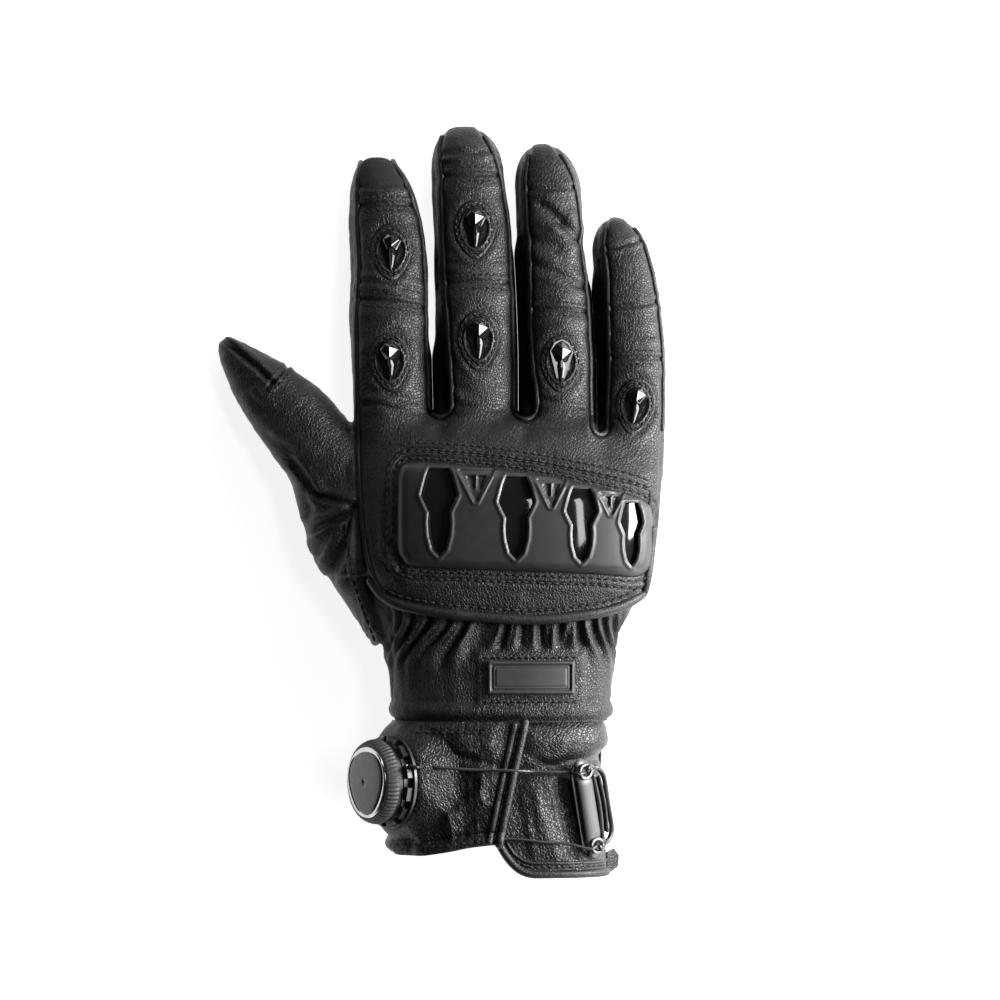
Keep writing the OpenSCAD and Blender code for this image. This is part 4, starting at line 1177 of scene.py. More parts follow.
# rolled edges of the back panel: up both sides of every finger and round each gap between them
sel = (Q[:, 2] > middle_z(P)[0] - 0.5) & (N[:, 2] > -0.15)
tt = T[sel[T].all(1)]
fr = panel_room(P[:, 0], P[:, 1])
chains = contour(tt, np.hstack([Q, P, NQ]), fr)
WELT_PILES = {}
for c in chains:
    keep = (c[:, 4] > -30) & ((c[:, 3] < 66) | (c[:, 4] > 24))
    for yt, k in ((113.0, 0), (119.5, 1), (113.5, 2), (89.5, 3)):
        keep &= ~((c[:, 4] > yt) & (lane(c[:, 3], c[:, 4]) == k))
    idx = np.where(keep)[0]
    if len(idx) < 10:
        continue
    for part in np.split(idx, np.where(np.diff(idx) > 1)[0] + 1):
        if len(part) < 12:
            continue
        q = c[part]
        path = resample(np.hstack([q[:, :3], q[:, 6:9]]), 1.0)
        if len(path) <= 6:
            continue
        sm = path.copy()
        for _ in range(3):
            sm[1:-1] = (sm[:-2] + 2 * sm[1:-1] + sm[2:]) / 4
        nn = unit(sm[:, 3:6])
        pts = sm[:, :3] + nn * 0.25
        for who, run in runs(np.hstack([pts, nn])):
            if len(run) < 3:
                continue
            WELT_PILES.setdefault(who, Pile()).tube(run[:, :3], 0.98, up=run[:, 3:6], flat=0.92)
for who, pile in WELT_PILES.items():
    o = pile.build("welts_" + who, WELT, slot="leather")
    attach(o, who)
for q, yl, yr, deep in TUCKS:
    l, r = float(tab(yl, PANEL[q][0])), float(tab(yr, PANEL[q][1]))
    u = np.linspace(0.1, 0.92, 30)
    for o in (-1.9, 2.5):
        stitch_row(np.stack([l + (r - l) * u, yl + (yr - yl) * u + 0.7 * (1 - (2 * u - 1) ** 2) + o], 1),
                   pitch=2.2, length=1.35, r=0.22)


def offset_outline(off):
    """The guard's outline, off mm further out."""
    c = GUARD_EDGE
    t = np.roll(c, -1, 0) - np.roll(c, 1, 0)
    n = unit(np.stack([t[:, 1], -t[:, 0]], 1))
    if poly_sdf(c[:1] + n[:1] * 0.5, c)[0] > 0:
        n = -n
    p = c + n * off
    return np.vstack([p, p[:1]])


for off in (1.1, 3.3):
    p = offset_outline(off)
    p = p[p[:, 0] < 68.6]
    stitch_row(p, lift=0.1, pitch=2.5, length=1.6)
for off in (0, 2.2):
    xs = np.linspace(-13, 70, 60)
    stitch_row(np.stack([xs, tab(xs, GUARD_ARC) + off], 1), lift=0.1, pitch=2.5, length=1.6)
xs = np.linspace(-19, 66, 80)
stitch_row(np.stack([xs, tab(xs, HEM) + 3.9], 1), lift=0.12, pitch=2.7)
# the rolled hem itself
xs = np.linspace(-22.5, 66.8, 110)
hp = []
for x in xs[xs < 64.5]:
    g, n = ground(x, float(tab(x, HEM)) + 0.9, 0.15)
    hp.append(np.concatenate([g, n]))
for x, y in ((65.2, -32.4), (66, -29.6), (66.8, -26), (67.7, -21), (68.3, -15), (68.8, -9)):
    g, n = ground(x, y, 0.1)
    if g[2] > 12:
        hp.append(np.concatenate([g, n]))
hp = resample(np.array(hp), 1.2)
for _ in range(4):
    hp[1:-1] = (hp[:-2] + 2 * hp[1:-1] + hp[2:]) / 4
hem_roll = sweep("hem_roll", hp[:, :3], 1.75, WELT, sides=14, up=hp[:, 3:6], flat=0.9, slot="leather")
attach(hem_roll, "hand")
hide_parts("back_hem")
# badge patch stitching
for yy in (-50.2, -64.6):
    xs = np.linspace(14, 45, 40)
    stitch_row(np.stack([xs, xs * 0 + yy], 1), lift=0.1, pitch=2.2, length=1.4)
# the gusset's leather border and the thumb's seams
stitch_row(np.stack([tab(np.arange(-48, -4, 1.0), GUSSET_LEFT) - 2.0, np.arange(-48, -4, 1.0)], 1),
           lift=0.1)
stitch_row(np.array([(-57.2, 38.8), (-51.2, 46)]), lift=0.1, pitch=2.0, length=1.3)
stitch_row(np.array([(-54.4, 37), (-47.6, 44.6)]), lift=0.1, pitch=2.0, length=1.3)
stitch_row(np.array([(-49.8, 12), (-41, 0.4), (-30, -2.4)]), lift=0.1, pitch=2.4, length=1.5)

# ---------------------------------------------------------------- knuckle armour
def over(x, y, d, n=SQUARE):
    """Height of the hand's back over (x, y), offset outwards by d."""
    l, r, u, k = tab(y, LEFT), tab(y, RIGHT), tab(y, UNDER), tab(y, BACK)
    q = np.clip(np.abs(x - (l + r) / 2) / ((r - l) / 2 + d), 0, 0.9995)
    return (u + k) / 2 + ((k - u) / 2 + d) * (1 - q ** n) ** (1 / n)


def rounded(t):
    """A quarter circle from 0 at t = 0 to 1 at t = 1."""
    t = np.clip(t, 0, 1)
    return np.sqrt(1 - (1 - t) ** 2)


def height_field(x0, x1, y0, y1, cell, height, *fields):
    """A grid over a rectangle in plan, its Z from height(x, y), cut by the fields."""
    nx, ny = int((x1 - x0) / cell) + 2, int((y1 - y0) / cell) + 2
    gx, gy = np.meshgrid(np.linspace(x0, x1, nx), np.linspace(y0, y1, ny))
    x, y = gx.ravel(), gy.ravel()
    F = tris(grid_faces(ny, nx))
    V = np.stack([x, y, height(x, y)], 1)
    N0 = vertex_normals(V, F)
    if N0[:, 2].mean() < 0:
        F, N0 = F[:, ::-1], -N0
    a = np.hstack([V, N0])
    for f in fields:
        F, a = clip(F, a, f(a[:, 0], a[:, 1]))
    return F, a[:, :3], unit(a[:, 3:6])


# Windows in the guard: centre X, half width, Y of the top and of the foot; and the recesses between them
WINDOWS = [(-0.5, 5.8, 11.2, -17.4), (24.5, 5.7, 8.6, -18.4), (45.7, 5.0, 4.8, -19.4),
           (62, 3.7, 0.0, -20.6)]
RECESSES = [(11.5, 6.3, 10.9, -0.2), (35.9, 5.3, 7.9, -1.8), (55.3, 4.3, 3.4, -4.2)]


def window_shape(x, h, top, low):
    """A window's outline: a head with a point at each side, over a long foot."""
    n = top - low
    q = [(-0.56, 0), (0.56, 0), (0.74, 0.1), (1.0, 0.31), (0.76, 0.42), (0.56, 0.5), (0.6, 0.62),
         (0.56, 0.76), (0.36, 0.92), (0, 1.0),
         (-0.36, 0.92), (-0.56, 0.76), (-0.6, 0.62), (-0.56, 0.5), (-0.76, 0.42), (-1.0, 0.31),
         (-0.74, 0.1)]
    return [(x + h * a, top - n * b) for a, b in q]


WIN = [window_shape(*w) for w in WINDOWS]


def window_room(x, y):
    """Distance inside the nearest window."""
    p = np.stack([x, y], 1)
    return np.max([poly_sdf(p, w) for w in WIN], axis=0)


def recess_fields(x, y):
    """Distance inside the nearest three-cornered recess, and inside the slots in it."""
    p = np.stack([x, y], 1)
    tri, slots = np.full(len(x), -9.0), np.full(len(x), -9.0)
    for cx, h, top, low in RECESSES:
        tri = np.maximum(tri, poly_sdf(p, [(cx - h, top), (cx + h, top), (cx + 0.5, low), (cx - 0.5, low)]))
        n = top - low
        for s in (-1, 1):
            slots = np.maximum(slots, poly_sdf(p, [(cx + s * 0.45, top - 0.2 * n),
                                                   (cx + s * h * 0.52, top - 0.2 * n),
                                                   (cx + s * h * 0.34, top - 0.46 * n),
                                                   (cx + s * h * 0.26, top - 0.62 * n),
                                                   (cx + s * 0.5, top - 0.6 * n)]))
    return tri, slots


def guard_lift(x, y):
    """How far the guard stands off the hand."""
    g = poly_sdf(np.stack([x, y], 1), GUARD_EDGE)
    w = window_room(x, y)
    t, s = recess_fields(x, y)
    d = 0.2 + 3.1 * rounded(g / 3.4)
    d = d + 0.34 * step(w, -1.7, -0.9) - 0.6 * step(w, -0.6, 0)
    d = d + 0.4 * bump(t + 0.3, 0.35) - 0.65 * step(t, 0.05, 0.5) - 0.8 * step(s, -0.15, 0.2)
    return d


gt, gv, gn = height_field(-15.5, 70.4, -25.4, 14.2, 0.42, lambda x, y: over(x, y, guard_lift(x, y)),
                          lambda x, y: poly_sdf(np.stack([x, y], 1), GUARD_EDGE), lambda x,
                          y: -window_room(x, y))
guard = shell("knuckle_guard_moulding", gt, gv, gn, 1.5, GUARD)
attach(guard, "hand")
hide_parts("knuckle_guard", "knuckle_foam")


def shell_lift(x, y):
    """How far the glossy shell stands off the hand: it bulges in each window."""
    d = np.full(len(x), 1.1)
    for cx, h, top, low in WINDOWS:
        u = (x - cx) / (h + 1.6)
        v = (y - (top * 0.62 + low * 0.38)) / ((top - low) * 0.62)
        d = d + 0.5 * np.clip(1 - u ** 2, 0, 1) * np.clip(1 - v ** 2, 0, 1) ** 0.7
    return d


inner = lambda x, y: poly_sdf(np.stack([x, y], 1), GUARD_EDGE) - 1.6
st, sv, sn = height_field(-15, 69, -24.5, 13.5, 0.6, lambda x, y: over(x, y, shell_lift(x, y)), inner)
gloss = shell("knuckle_gloss_shell", st, sv, sn, 0.8, GLOSS)
attach(gloss, "hand")
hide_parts("knuckle_shell")


# ---------------------------------------------------------------- finger studs
def hull(name, points, mat, bevel=0.12, place=None, joined=None):
    """A faceted solid round some points, with small bevels."""
    bm = bmesh.new()
    for group in points:
        vs = [bm.verts.new(p) for p in group]
        r = bmesh.ops.convex_hull(bm, input=vs)
        drop = [e for e in r["geom_interior"] + r["geom_unused"] if isinstance(e, bmesh.types.BMVert)]
        if drop:
            bmesh.ops.delete(bm, geom=drop, context="VERTS")
    bmesh.ops.dissolve_limit(bm, angle_limit=0.03, verts=bm.verts, edges=bm.edges)
    if bevel:
        bmesh.ops.bevel(bm, geom=list(bm.edges), offset=bevel, segments=2, profile=0.6, affect="EDGES",
                        clamp_overlap=True)
    bmesh.ops.triangulate(bm, faces=bm.faces)
    V = np.array([v.co[:] for v in bm.verts])
    bm.verts.index_update()
    F = np.array([[v.index for v in f.verts] for f in bm.faces])
    bm.free()
    if place is not None:
        V = place(V)
    if joined is not None:
        joined.add(V, F)
        return None
    return mesh(name, V, F, mat, smooth=False)


def surface_frame(x, y, span=4.0):
    """Origin, across, along and outward directions on the leather at (x, y)."""
    a, b = ground(x, y - span)[0], ground(x, y + span)[0]
    l, r = ground(x - 2.5, y)[0], ground(x + 2.5, y)[0]
    v = unit(b - a)
    n = unit(np.cross(unit(r - l), v))
    u = np.cross(v, n)
    o = ground(x, y)[0]
    return o, u, v, n


# The surround under a stud, from its edge in: part of its full size, and height
RINGS = [(1.06, -0.5), (1.01, 0.0), (0.985, 0.36), (0.95, 0.6), (0.90, 0.66), (0.86, 0.5), (0.82, 0.4),
         (0.78, 0.5), (0.745, 0.72), (0.70, 0.86), (0.655, 0.84), (0.62, 0.5), (0.60, 0.1), (0.4, 0.02),
         (0.2, 0.02)]
# A stud: its faceted head, its tail and the plate under them, as points of convex solids
HEAD = [(0, 7.6, 0.2), (2.1, 6.3, 0.2), (-2.1, 6.3, 0.2), (3.6, 3.9, 0.2), (-3.6, 3.9, 0.2),
        (1.9, 0.4, 0.2), (-1.9, 0.4, 0.2), (2.9, 4.0, 1.5), (-2.9, 4.0, 1.5),
        (1.3, 6.0, 1.6), (-1.3, 6.0, 1.6), (0, 4.9, 3.0), (0, 1.3, 2.9), (1.2, 0.7, 1.5), (-1.2, 0.7, 1.5)]
TAIL = [(1.2, 1.6, 0), (-1.2, 1.6, 0), (1.55, -1.2, 0), (-1.55, -1.2, 0), (1.0, -4.6, 0), (-1.0, -4.6, 0),
        (0, -7.4, 0), (0.35, 1.6, 2.0), (-0.35, 1.6, 2.0), (0.4, -1.4, 2.2),
        (-0.4, -1.4, 2.2), (0.25, -4.6, 1.5), (-0.25, -4.6, 1.5), (0, -6.9, 0.6)]
PLATE = [(0, 8.0, 0), (0, 8.0, 0.3)]
PLATE += [(s * x, y, z) for s in (-1, 1) for z in (0, 0.35) for x,
          y in ((2.5, 6.9), (3.9, 3.7), (2.7, -0.6), (1.5, -4.8))]
PLATE += [(0, -7.8, 0), (0, -7.6, 0.25)]
# How far each stud is turned, and its size beside the largest
TURN = {"stud_little_base": -9, "stud_index_base": 2, "stud_ring_base": -2}
SCALE = {"stud_index_middle": 0.92, "stud_little_base": 0.95, "stud_index_base": 0.96}
AROUND = 56

for name, cx, cy, w, h in STUDS:
    who = owner(np.array([cx, cy, 20.0]))
    turn = math.radians(TURN.get(name, 0))
    ca, sa = math.cos(turn), math.sin(turn)
    t = np.arange(AROUND) / AROUND * TAU

    def oval(k):
        """The surround's outline in plan, k times its full size."""
        lx, ly = egg_width(np.sin(t) * k, w) * np.cos(t) * k, h * np.sin(t) * k
        return np.stack([cx + lx * ca - ly * sa, cy + lx * sa + ly * ca], 1)

    V = [ground(*q, lift)[0] for k, lift in RINGS for q in oval(k)]
    m = len(RINGS)
    V = np.vstack([V, ground(cx, cy, 0.02)[0], ground(cx, cy, -0.7)[0]])
    j = np.arange(AROUND)
    F = grid_faces(m, AROUND, True, flip=True)
    last = (m - 1) * AROUND
    caps = np.vstack([np.stack([np.full(AROUND, m * AROUND), last + j, last + (j + 1) % AROUND], 1),
                      np.stack([np.full(AROUND, m * AROUND + 1), (j + 1) % AROUND, j], 1)])
    allf = np.vstack([tris(F), caps])
    if np.cross(V[allf[0][1]] - V[allf[0][0]], V[allf[0][2]] - V[allf[0][0]])[2] < 0:
        allf = allf[:, ::-1]
    o = mesh(name + "_surround", V, allf, CUFF)
    attach(o, who)
    ring = oval(0.82)
    stitch_row(np.vstack([ring, ring[:1]]), lift=0.55, pitch=2.1, length=1.35, r=0.25, who=who)
    o0, u, vv, n = surface_frame(cx, cy)
    u2, v2 = u * ca + vv * sa, vv * ca - u * sa
    place = lambda q: o0 + q[:, :1] * u2 + q[:, 1:2] * v2 + q[:, 2:3] * n
    sc = SCALE.get(name, 1.0)
    pts = [[(a * sc, b * sc, c + 0.25) for a, b, c in grp] for grp in (PLATE, HEAD, TAIL)]
    pile = Pile()
    for grp, bv in zip(pts, (0.2, 0.16, 0.12)):
        hull("", [grp], None, bv, place, joined=pile)
    o = pile.build(name + "_armour", GLOSS, smooth=False, slot="gloss_armour")
    attach(o, who)
    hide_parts(name)

# ---------------------------------------------------------------- wrist badge, left blank
def badge_edge(x, y):
    """Distance in from the badge's edge."""
    return -(np.maximum(np.abs(x - 29.4) - 14.2, np.abs(y + 56.7) - 5.5))


def badge_lift(x, y):
    e = badge_edge(x, y)
    return 0.8 + 1.5 * rounded(e / 0.7) - 0.6 * bump(e - 1.55, 0.3) * 1.2 - 0.25 * step(e, 1.4,
            1.7) - 0.35 * bump(e - 2.5, 0.22)


bt, bv, bn = height_field(14.9, 45.1, -63.9, -51.1, 0.3, lambda x, y: over(x, y, badge_lift(x, y)),
                          lambda x, y: badge_edge(x, y))
badge = shell("wrist_badge_blank", bt, bv, bn, 1.4, RUBBER)
fix(badge, "cuff", "wrist_badge")


# ---------------------------------------------------------------- cuff
def angle_of(x, y, d):
    """The angle at which section(y, angle, d) comes to x."""
    l, r = tab(y, LEFT), tab(y, RIGHT)
    q = np.clip((x - (l + r) / 2) / ((r - l) / 2 + d), -1, 1)
    return np.degrees(np.arccos(np.clip(np.sign(q) * np.abs(q) ** (SQUARE / 2), -1, 1)))


def crumple(p, cell, seed, stretch=(1, 1, 1)):
    """Sharp-crested folds from ridged noise."""
    q = p / np.array(stretch)
    return 1 - 2 * np.abs(noise(q, cell, seed)) + 0.5 * (0.5 - np.abs(noise(q, cell * 0.5, seed + 1)))


def cuff_sheet(name, t_of, y_of, d, nu, nv, lift, thick, mat, seat=None):
    """A sheet on the cuff: t_of(u, y) gives its angle, y_of(u, v) its Y; lift adds to the offset d."""
    u, v = np.meshgrid(np.linspace(0, 1, nu), np.linspace(0, 1, nv), indexing="ij")
    y = y_of(u, v)
    t = t_of(u, y)
    base = section(y.ravel(), t.ravel(), d)
    up = section(y.ravel(), t.ravel(), d + 1.0) - base
    V = base + up * lift(base, u.ravel(), v.ravel())[:, None]
    if seat is not None:
        V = seat(V)
    F = tris(grid_faces(nu, nv))
    N0 = vertex_normals(V, F)
    if np.mean(np.sum(N0 * up, 1)) < 0:
        F, N0 = F[:, ::-1], -N0
    return shell(name, F, V, N0, thick, mat), V.reshape(nu, nv, 3)


def sheet_tree(V):
    """A search tree over a sheet's grid of points."""
    return BVHTree.FromPolygons(V.reshape(-1, 3).tolist(), tris(grid_faces(*V.shape[:2])).tolist())


# The flap's front edge, as X against Y
FLAP_EDGE = [(-118, 17.5), (-109, 19.3), (-90, 23.2), (-70, 27.8)]


def fold(p, a, b, w):
    """A soft ridge w wide along the line from a to b."""
    across, past = line_field(p[:, 0], p[:, 1], a, b)
    return bump(across, w) * bump(past, 4)



def flap_lift(p, u, v):
    """The flap's folds and creases."""
    x, y, z = p.T
    e = step(u, 0.0, 0.06)
    soft = between(v, 0, 0.12, 0.93, 1)
    d = e * soft * (0.85 * crumple(p, 8.5, 41, (0.9, 1.8, 1.0)) - 0.5
                    + 0.35 * noise(p, 12, 42)) + e * 0.16 * crumple(p, 2.6, 44, (1, 1.6, 1))
    d = d - 0.7 * e * fold(p, (-8, -78), (20, -86), 1.6) + 0.5 * e * fold(p, (-8, -74), (22, -80), 2.4)
    d = d + 0.6 * e * fold(p, (2, -103), (14, -92), 2.0) - 0.5 * e * fold(p, (6, -106), (18, -97), 1.4)
    d = d + 0.9 * bump((v - 0.035) * 45, 1.6) - 0.5 * bump((v - 0.1) * 45, 0.8)
    d = d - 1.9 * step(-x, 5, 12) * step(np.abs(y + 90.5), 13.5, 20)
    d = d - 0.8 * step(v, 0.95, 1)
    return d


def dial_seat(V):
    """The leather comes up to the underside of the dial's base."""
    a = math.radians(DIAL_TILT)
    q = V - DIAL
    ax = np.array([-math.sin(a), 0, math.cos(a)])
    h = q @ ax
    r = np.linalg.norm(q - h[:, None] * ax, axis=1)
    w = (1 - step(r, 14.8, 21)) * step(h, -14, -8)
    return V + ax * ((0.66 - h) * w)[:, None]


def flap_low(u):
    return tab(u, [(0, -110.6), (0.1, -111.6), (0.22, -113.2), (0.4, -114.4), (0.6, -114.4), (0.8, -112.8),
                   (1, -112.2)])


def flap_angle(u, y):
    front = angle_of(tab(y, FLAP_EDGE), y, FLAP_D)
    return front + (186 - front) * u


flap, fv = cuff_sheet("cuff_flap_leather", flap_angle, lambda u, v: flap_low(u) * (1 - v) + CUFF_TOP * v,
                      FLAP_D, 190, 120, flap_lift, SKIN, CUFF, seat=dial_seat)
fix(flap, "flap", "cuff_flap")
ftree = sheet_tree(fv)
edge = resample(fv[0], 1.0)
line = edge + np.array([-3.3, 0, 0.25])
line = np.array([list(seen_from_above(ftree, q[0], q[1])[0] or Vector(q)) for q in line[1:-1]])
for name, at, radius in (("flap_edge_piping", edge + np.array([0, 0, 0.15]), 1.35),
                         ("flap_edge_cord", line, 1.15)):
    o = sweep(name, at, radius, WELT, sides=12, slot="leather", up=np.array([0, 0, 1.0]), flat=0.75)
    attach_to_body(o, "flap")
    if name == "flap_edge_piping":
        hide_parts("flap_binding")


def on_tree(tree, x, y, lift):
    """The point of a sheet under (x, y), lifted along its normal, or None."""
    h, n = seen_from_above(tree, x, y)
    if h is None:
        return None
    n = np.array(n)
    return np.array(h) + n * (lift if n[2] > 0 else -lift)


def row_on(tree, pts, who, lift=0.12, pitch=2.6, length=1.7, r=0.25):
    q = [on_tree(tree, x, y, lift) for x, y in resample(np.asarray(pts, float), 0.5)]
    q = np.array([p for p in q if p is not None])
    if len(q) > 4:
        stitch_row(q, pitch=pitch, length=length, who=who, r=r, drape=False)


ys = np.arange(-109, -72, 1.0)
row_on(ftree, np.stack([tab(ys, FLAP_EDGE) - 1.75, ys], 1), "flap", 0.1, 2.4, 1.5)
xs = np.linspace(-8, 15, 30)
row_on(ftree, np.stack([xs, tab((18 - xs) / 44, [(0, -107), (0.22, -110), (0.5, -111.4), (0.7, -111)])], 1),
       "flap", 0.12)
row_on(ftree, np.stack([xs, -74.4 + 0 * xs], 1), "flap", 0.12)


def tongue_low(x):
    return -120.7 + 8.5 * np.clip((32 - x) / 12, 0, 1.1) ** 2.6


def tongue_lift(p, u, v):
    """The tongue's folds and creases, and the hollow under the guide."""
    x, y, z = p.T
    soft = between(v, 0.04, 0.16, 0.94, 1)
    d = soft * (0.35 * crumple(p, 9, 51, (1, 1.6, 1)) - 0.2 + 0.3 * noise(p, 12, 52)
                + 0.08 * crumple(p, 3, 54))
    d = d + soft * (1.3 * fold(p, (30, -77), (53, -78), 3.6) - 1.6 * fold(p, (26, -87.5), (52, -82.5), 2.0)
                    + 0.8 * fold(p, (30, -94), (37, -114), 2.6)
                    - 1.2 * fold(p, (38.5, -93), (44.5, -117), 1.7) + 0.5 * fold(p, (27, -97), (30, -112),
                            1.6) - 0.6 * fold(p, (33, -84), (47, -90), 1.4))
    d = d - 1.3 * bump(y + 87, 6) * step(x, 46, 53) - 0.9 * step(v, 0.95, 1)
    return d


tongue_angle = lambda u: -14 + 120 * u


def tongue_y(u, v):
    return tongue_low(section(-120, tongue_angle(u), TONGUE_D)[..., 0]) * (1 - v) + CUFF_TOP * v


tongue, tv = cuff_sheet("cuff_tongue_leather", lambda u, y: tongue_angle(u), tongue_y,
                        TONGUE_D, 170, 110, tongue_lift, SKIN, CUFF)
fix(tongue, "cuff", "cuff_tongue")
low = resample(tv[:int(len(tv) * 0.9), 0], 1.0)
bind = sweep("tongue_edge_piping", low + np.array([0, 0.3, 0.1]), 1.35, WELT, sides=12, slot="leather")
fix(bind, "cuff", "tongue_binding")
ttree = sheet_tree(tv)
xs = np.linspace(54.5, 23, 40)
row_on(ttree, np.stack([xs, tongue_low(xs) + 2.6], 1), "wrist_band", 0.1, 2.3, 1.5)
inner_edge = [on_tree(ttree, x, tongue_low(x) + (3.9 if x > 23.4 else 4.4), 0.05) for x in np.linspace(55,
        21.5, 36)]
inner_edge = np.array([q for q in inner_edge if q is not None])
cord2 = sweep("tongue_edge_cord", inner_edge, 0.6, WELT, sides=8, slot="leather")
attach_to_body(cord2, "cuff")


def palm_lift(p, u, v):
    soft = between(v, 0.03, 0.12, 0.95, 1)
    return (0.3 * crumple(p, 9, 61) - 0.2 + 0.25 * noise(p, 12, 62)) * soft - 0.9 * step(v, 0.95, 1)


palm_cuff, pv = cuff_sheet("cuff_palm_leather", lambda u, y: 187 + 160 * u,
                           lambda u, v: (-111.5 - 6 * step(u, 0.45, 0.95)) * (1 - v) + CUFF_TOP * v,
                           -1.0, 150, 80, palm_lift, SKIN, CUFF)
cuff_lining, _ = cuff_sheet("cuff_lining_knit", lambda u, y: -13 + 358 * u,
                            lambda u, v: -108.5 * (1 - v) - 66 * v + 0 * u,
                            -2.9, 150, 40, lambda p, u, v: 0.15 * noise(p, 8, 65), 0.6, LINING)
for o in (palm_cuff, cuff_lining):
    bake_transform(o)
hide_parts("cuff_palm")
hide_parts("cuff_lining")
hem_line = sweep("palm_cuff_piping", resample(pv[:, 0], 1.5) + np.array([0, 0.2, 0]), 1.2, WELT, sides=10,
                 slot="leather")
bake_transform(hem_line)


# ---------------------------------------------------------------- lace guide
def turned(p, deg):
    """Points turned about Y."""
    a = math.radians(deg)
    x, y, z = np.asarray(p, float).T
    return np.stack([x * math.cos(a) + z * math.sin(a), y, -x * math.sin(a) + z * math.cos(a)], -1)


def slanted(p, deg):
    """Points turned about Z."""
    a = math.radians(deg)
    x, y, z = np.asarray(p, float).T
    return np.stack([x * math.cos(a) - y * math.sin(a), x * math.sin(a) + y * math.cos(a), z], -1)


GUIDE = section(-98.9, 37.5, TONGUE_D + 0.7)
guide_pt = lambda p: GUIDE + turned(slanted(np.asarray(p, float) * (1, 0.88, 1), 12), 42)
dial_pt = lambda p: DIAL + turned(p, -DIAL_TILT)

ys = np.linspace(-16.4, 16.4, 60)
wid = 3.2 * (1 - 0.25 * step(np.abs(ys), 11, 16.4))
path = guide_pt(np.stack([-1.5 + 0 * ys, ys, 1.9 - 0.9 * step(np.abs(ys), 9.5, 13)], 1))
bar_up = guide_pt([[0, 0, 1]])[0] - guide_pt([[0, 0, 0]])[0]
bar = sweep("guide_bar", path, wid, BAR, sides=20, up=bar_up, flat=0.46, slot="rubber")
fix(bar, "cuff", "lace_guide")
base = ((-5.6, -14.5), (-3.5, -17), (2, -17), (4.6, -15), (4.6, 15), (2, 17), (-3.5, 17), (-5.6, 14.5))
o = hull("guide_base", [slab(base, -0.2, 0.75)], RUBBER, 0.25, guide_pt)
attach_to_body(o, "cuff")
pile = Pile()
for s in (-1, 1):
    a = np.linspace(0, TAU, 41)
    ring = guide_pt(np.stack([-1.4 + 2.45 * np.cos(a), s * 14 + 2.45 * np.sin(a), 3.1 + 0 * a], 1))
    pile.tube(ring, 0.62, up=bar_up, ends=False)
o = pile.build("guide_rings", STEEL, slot="steel")
fix(o, "cuff", "guide_loops")
hexa = [(2.2, -12.8), (4, -14.2), (7.0, -10.4), (7.2, 0), (7.0, 10.4), (4, 14.2), (2.2, 12.8)]
pile = Pile()
for pts, r, z in ((hexa, 0.85, 1.9), ([(2.6, -11.4), (3.3, 0), (2.6, 11.4)], 0.75, 1.9),
                  ([(4.9, -10.2), (5.5, 0), (4.9, 10.2)], 0.6, 2.1)):
    q = guide_pt(np.array([(a, b, z) for a, b in spline(pts, 0.8)]))
    pile.tube(q, r, up=bar_up)
for s in (-1, 1):
    hook = [(4.2, 13.6, 2.0), (2.4, 14.6, 2.6), (0.6, 15.6, 3.4), (-0.8, 15.4, 4.2), (-1.2, 14.4, 4.0)]
    q = guide_pt(spline(hook, 0.6) * (1, s, 1))
    pile.tube(q, 0.7)
o = pile.build("guide_frame", FRAME, slot="gloss_armour")
fix(o, "cuff", "guide_plate")
pad = hull("guide_pad", [slab(((3.3, -10.8), (5.2, -10.2), (5.6, 0), (5.2, 10.2), (3.3, 10.8)), 0.3, 1.4)],
           RUBBER, 0.3, guide_pt)
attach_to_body(pad, "cuff")
# pull tab at the tongue's corner
TAB = np.array([55.6, -117.2, 14.5])
tu, tn_ = np.array([0.82, 0, -0.57]), np.array([0.57, 0, 0.82])
tab_pt = lambda q: TAB + q[:, :1] * tu + q[:, 1:2] * np.array([0, 1.0, 0]) + q[:, 2:3] * tn_
tab_edge = ((-2.6, -2.6), (-0.6, -3.8), (2.2, -2.2), (2.6, 1.6), (0.6, 3.8), (-2.4, 2.6))
o = hull("pull_tab_moulding", [slab(tab_edge, 0, 1.3)], THUMB, 0.3, tab_pt)
fix(o, "cuff", "pull_tab")

# ---------------------------------------------------------------- lace
ring_z, channel_z, loop_y = 3.1, 1.95, 14
lace_over, lace_under = FLAP_D + 1.25, TONGUE_D + 0.9
dp = lambda *p: dial_pt([p])[0]
gp = lambda *p: guide_pt([p])[0]
hole = (4.4, -8.6)
knots = [dp(r * math.cos(math.radians(20)), r * math.sin(math.radians(20)), 2.7) for r in (7.6, 10.5,
        13.2)] + [dp(15.6, 5.5, 3.0), dp(18.0, 5.2, 2.4)]
knots += [section(-85.4 - (120 - t) * 0.04, t, lace_over + up) for t,
          up in ((121, 2.5), (114, 2.2), (107, 1.3), (96, 0.25))] + [section(-86.6, 86, lace_over - 0.3),
          section(-87, 77, TONGUE_D + 1.9)]
knots += [section(-87.2, 66, TONGUE_D + 1.6), section(-87.4, 56, TONGUE_D + 2)]
knots += [gp(-5.7, loop_y + 0.2, ring_z + 0.5), gp(-3.7, loop_y, ring_z + 1.2),
          gp(-1.6, loop_y - 0.2, ring_z + 0.1), gp(-1.4, loop_y - 2.2, channel_z)]
knots += [gp(-1.4, y, channel_z) for y in (8, 0, -8)]
knots += [gp(-1.4, 2.2 - loop_y, channel_z), gp(-1.6, 0.2 - loop_y, ring_z + 0.1),
          gp(-3.7, -loop_y, ring_z + 1.2), gp(-5.7, -loop_y, ring_z + 0.5)]
knots += [section(-110.4, 58, TONGUE_D + 1.7), section(-110, 70, TONGUE_D + 1.1),
          section(-109.2, 80, lace_under)]
knots += [section(-108.6 + ((t - 90) / 18) * 0.5, t, lace_under) for t in (90, 99, 108)]
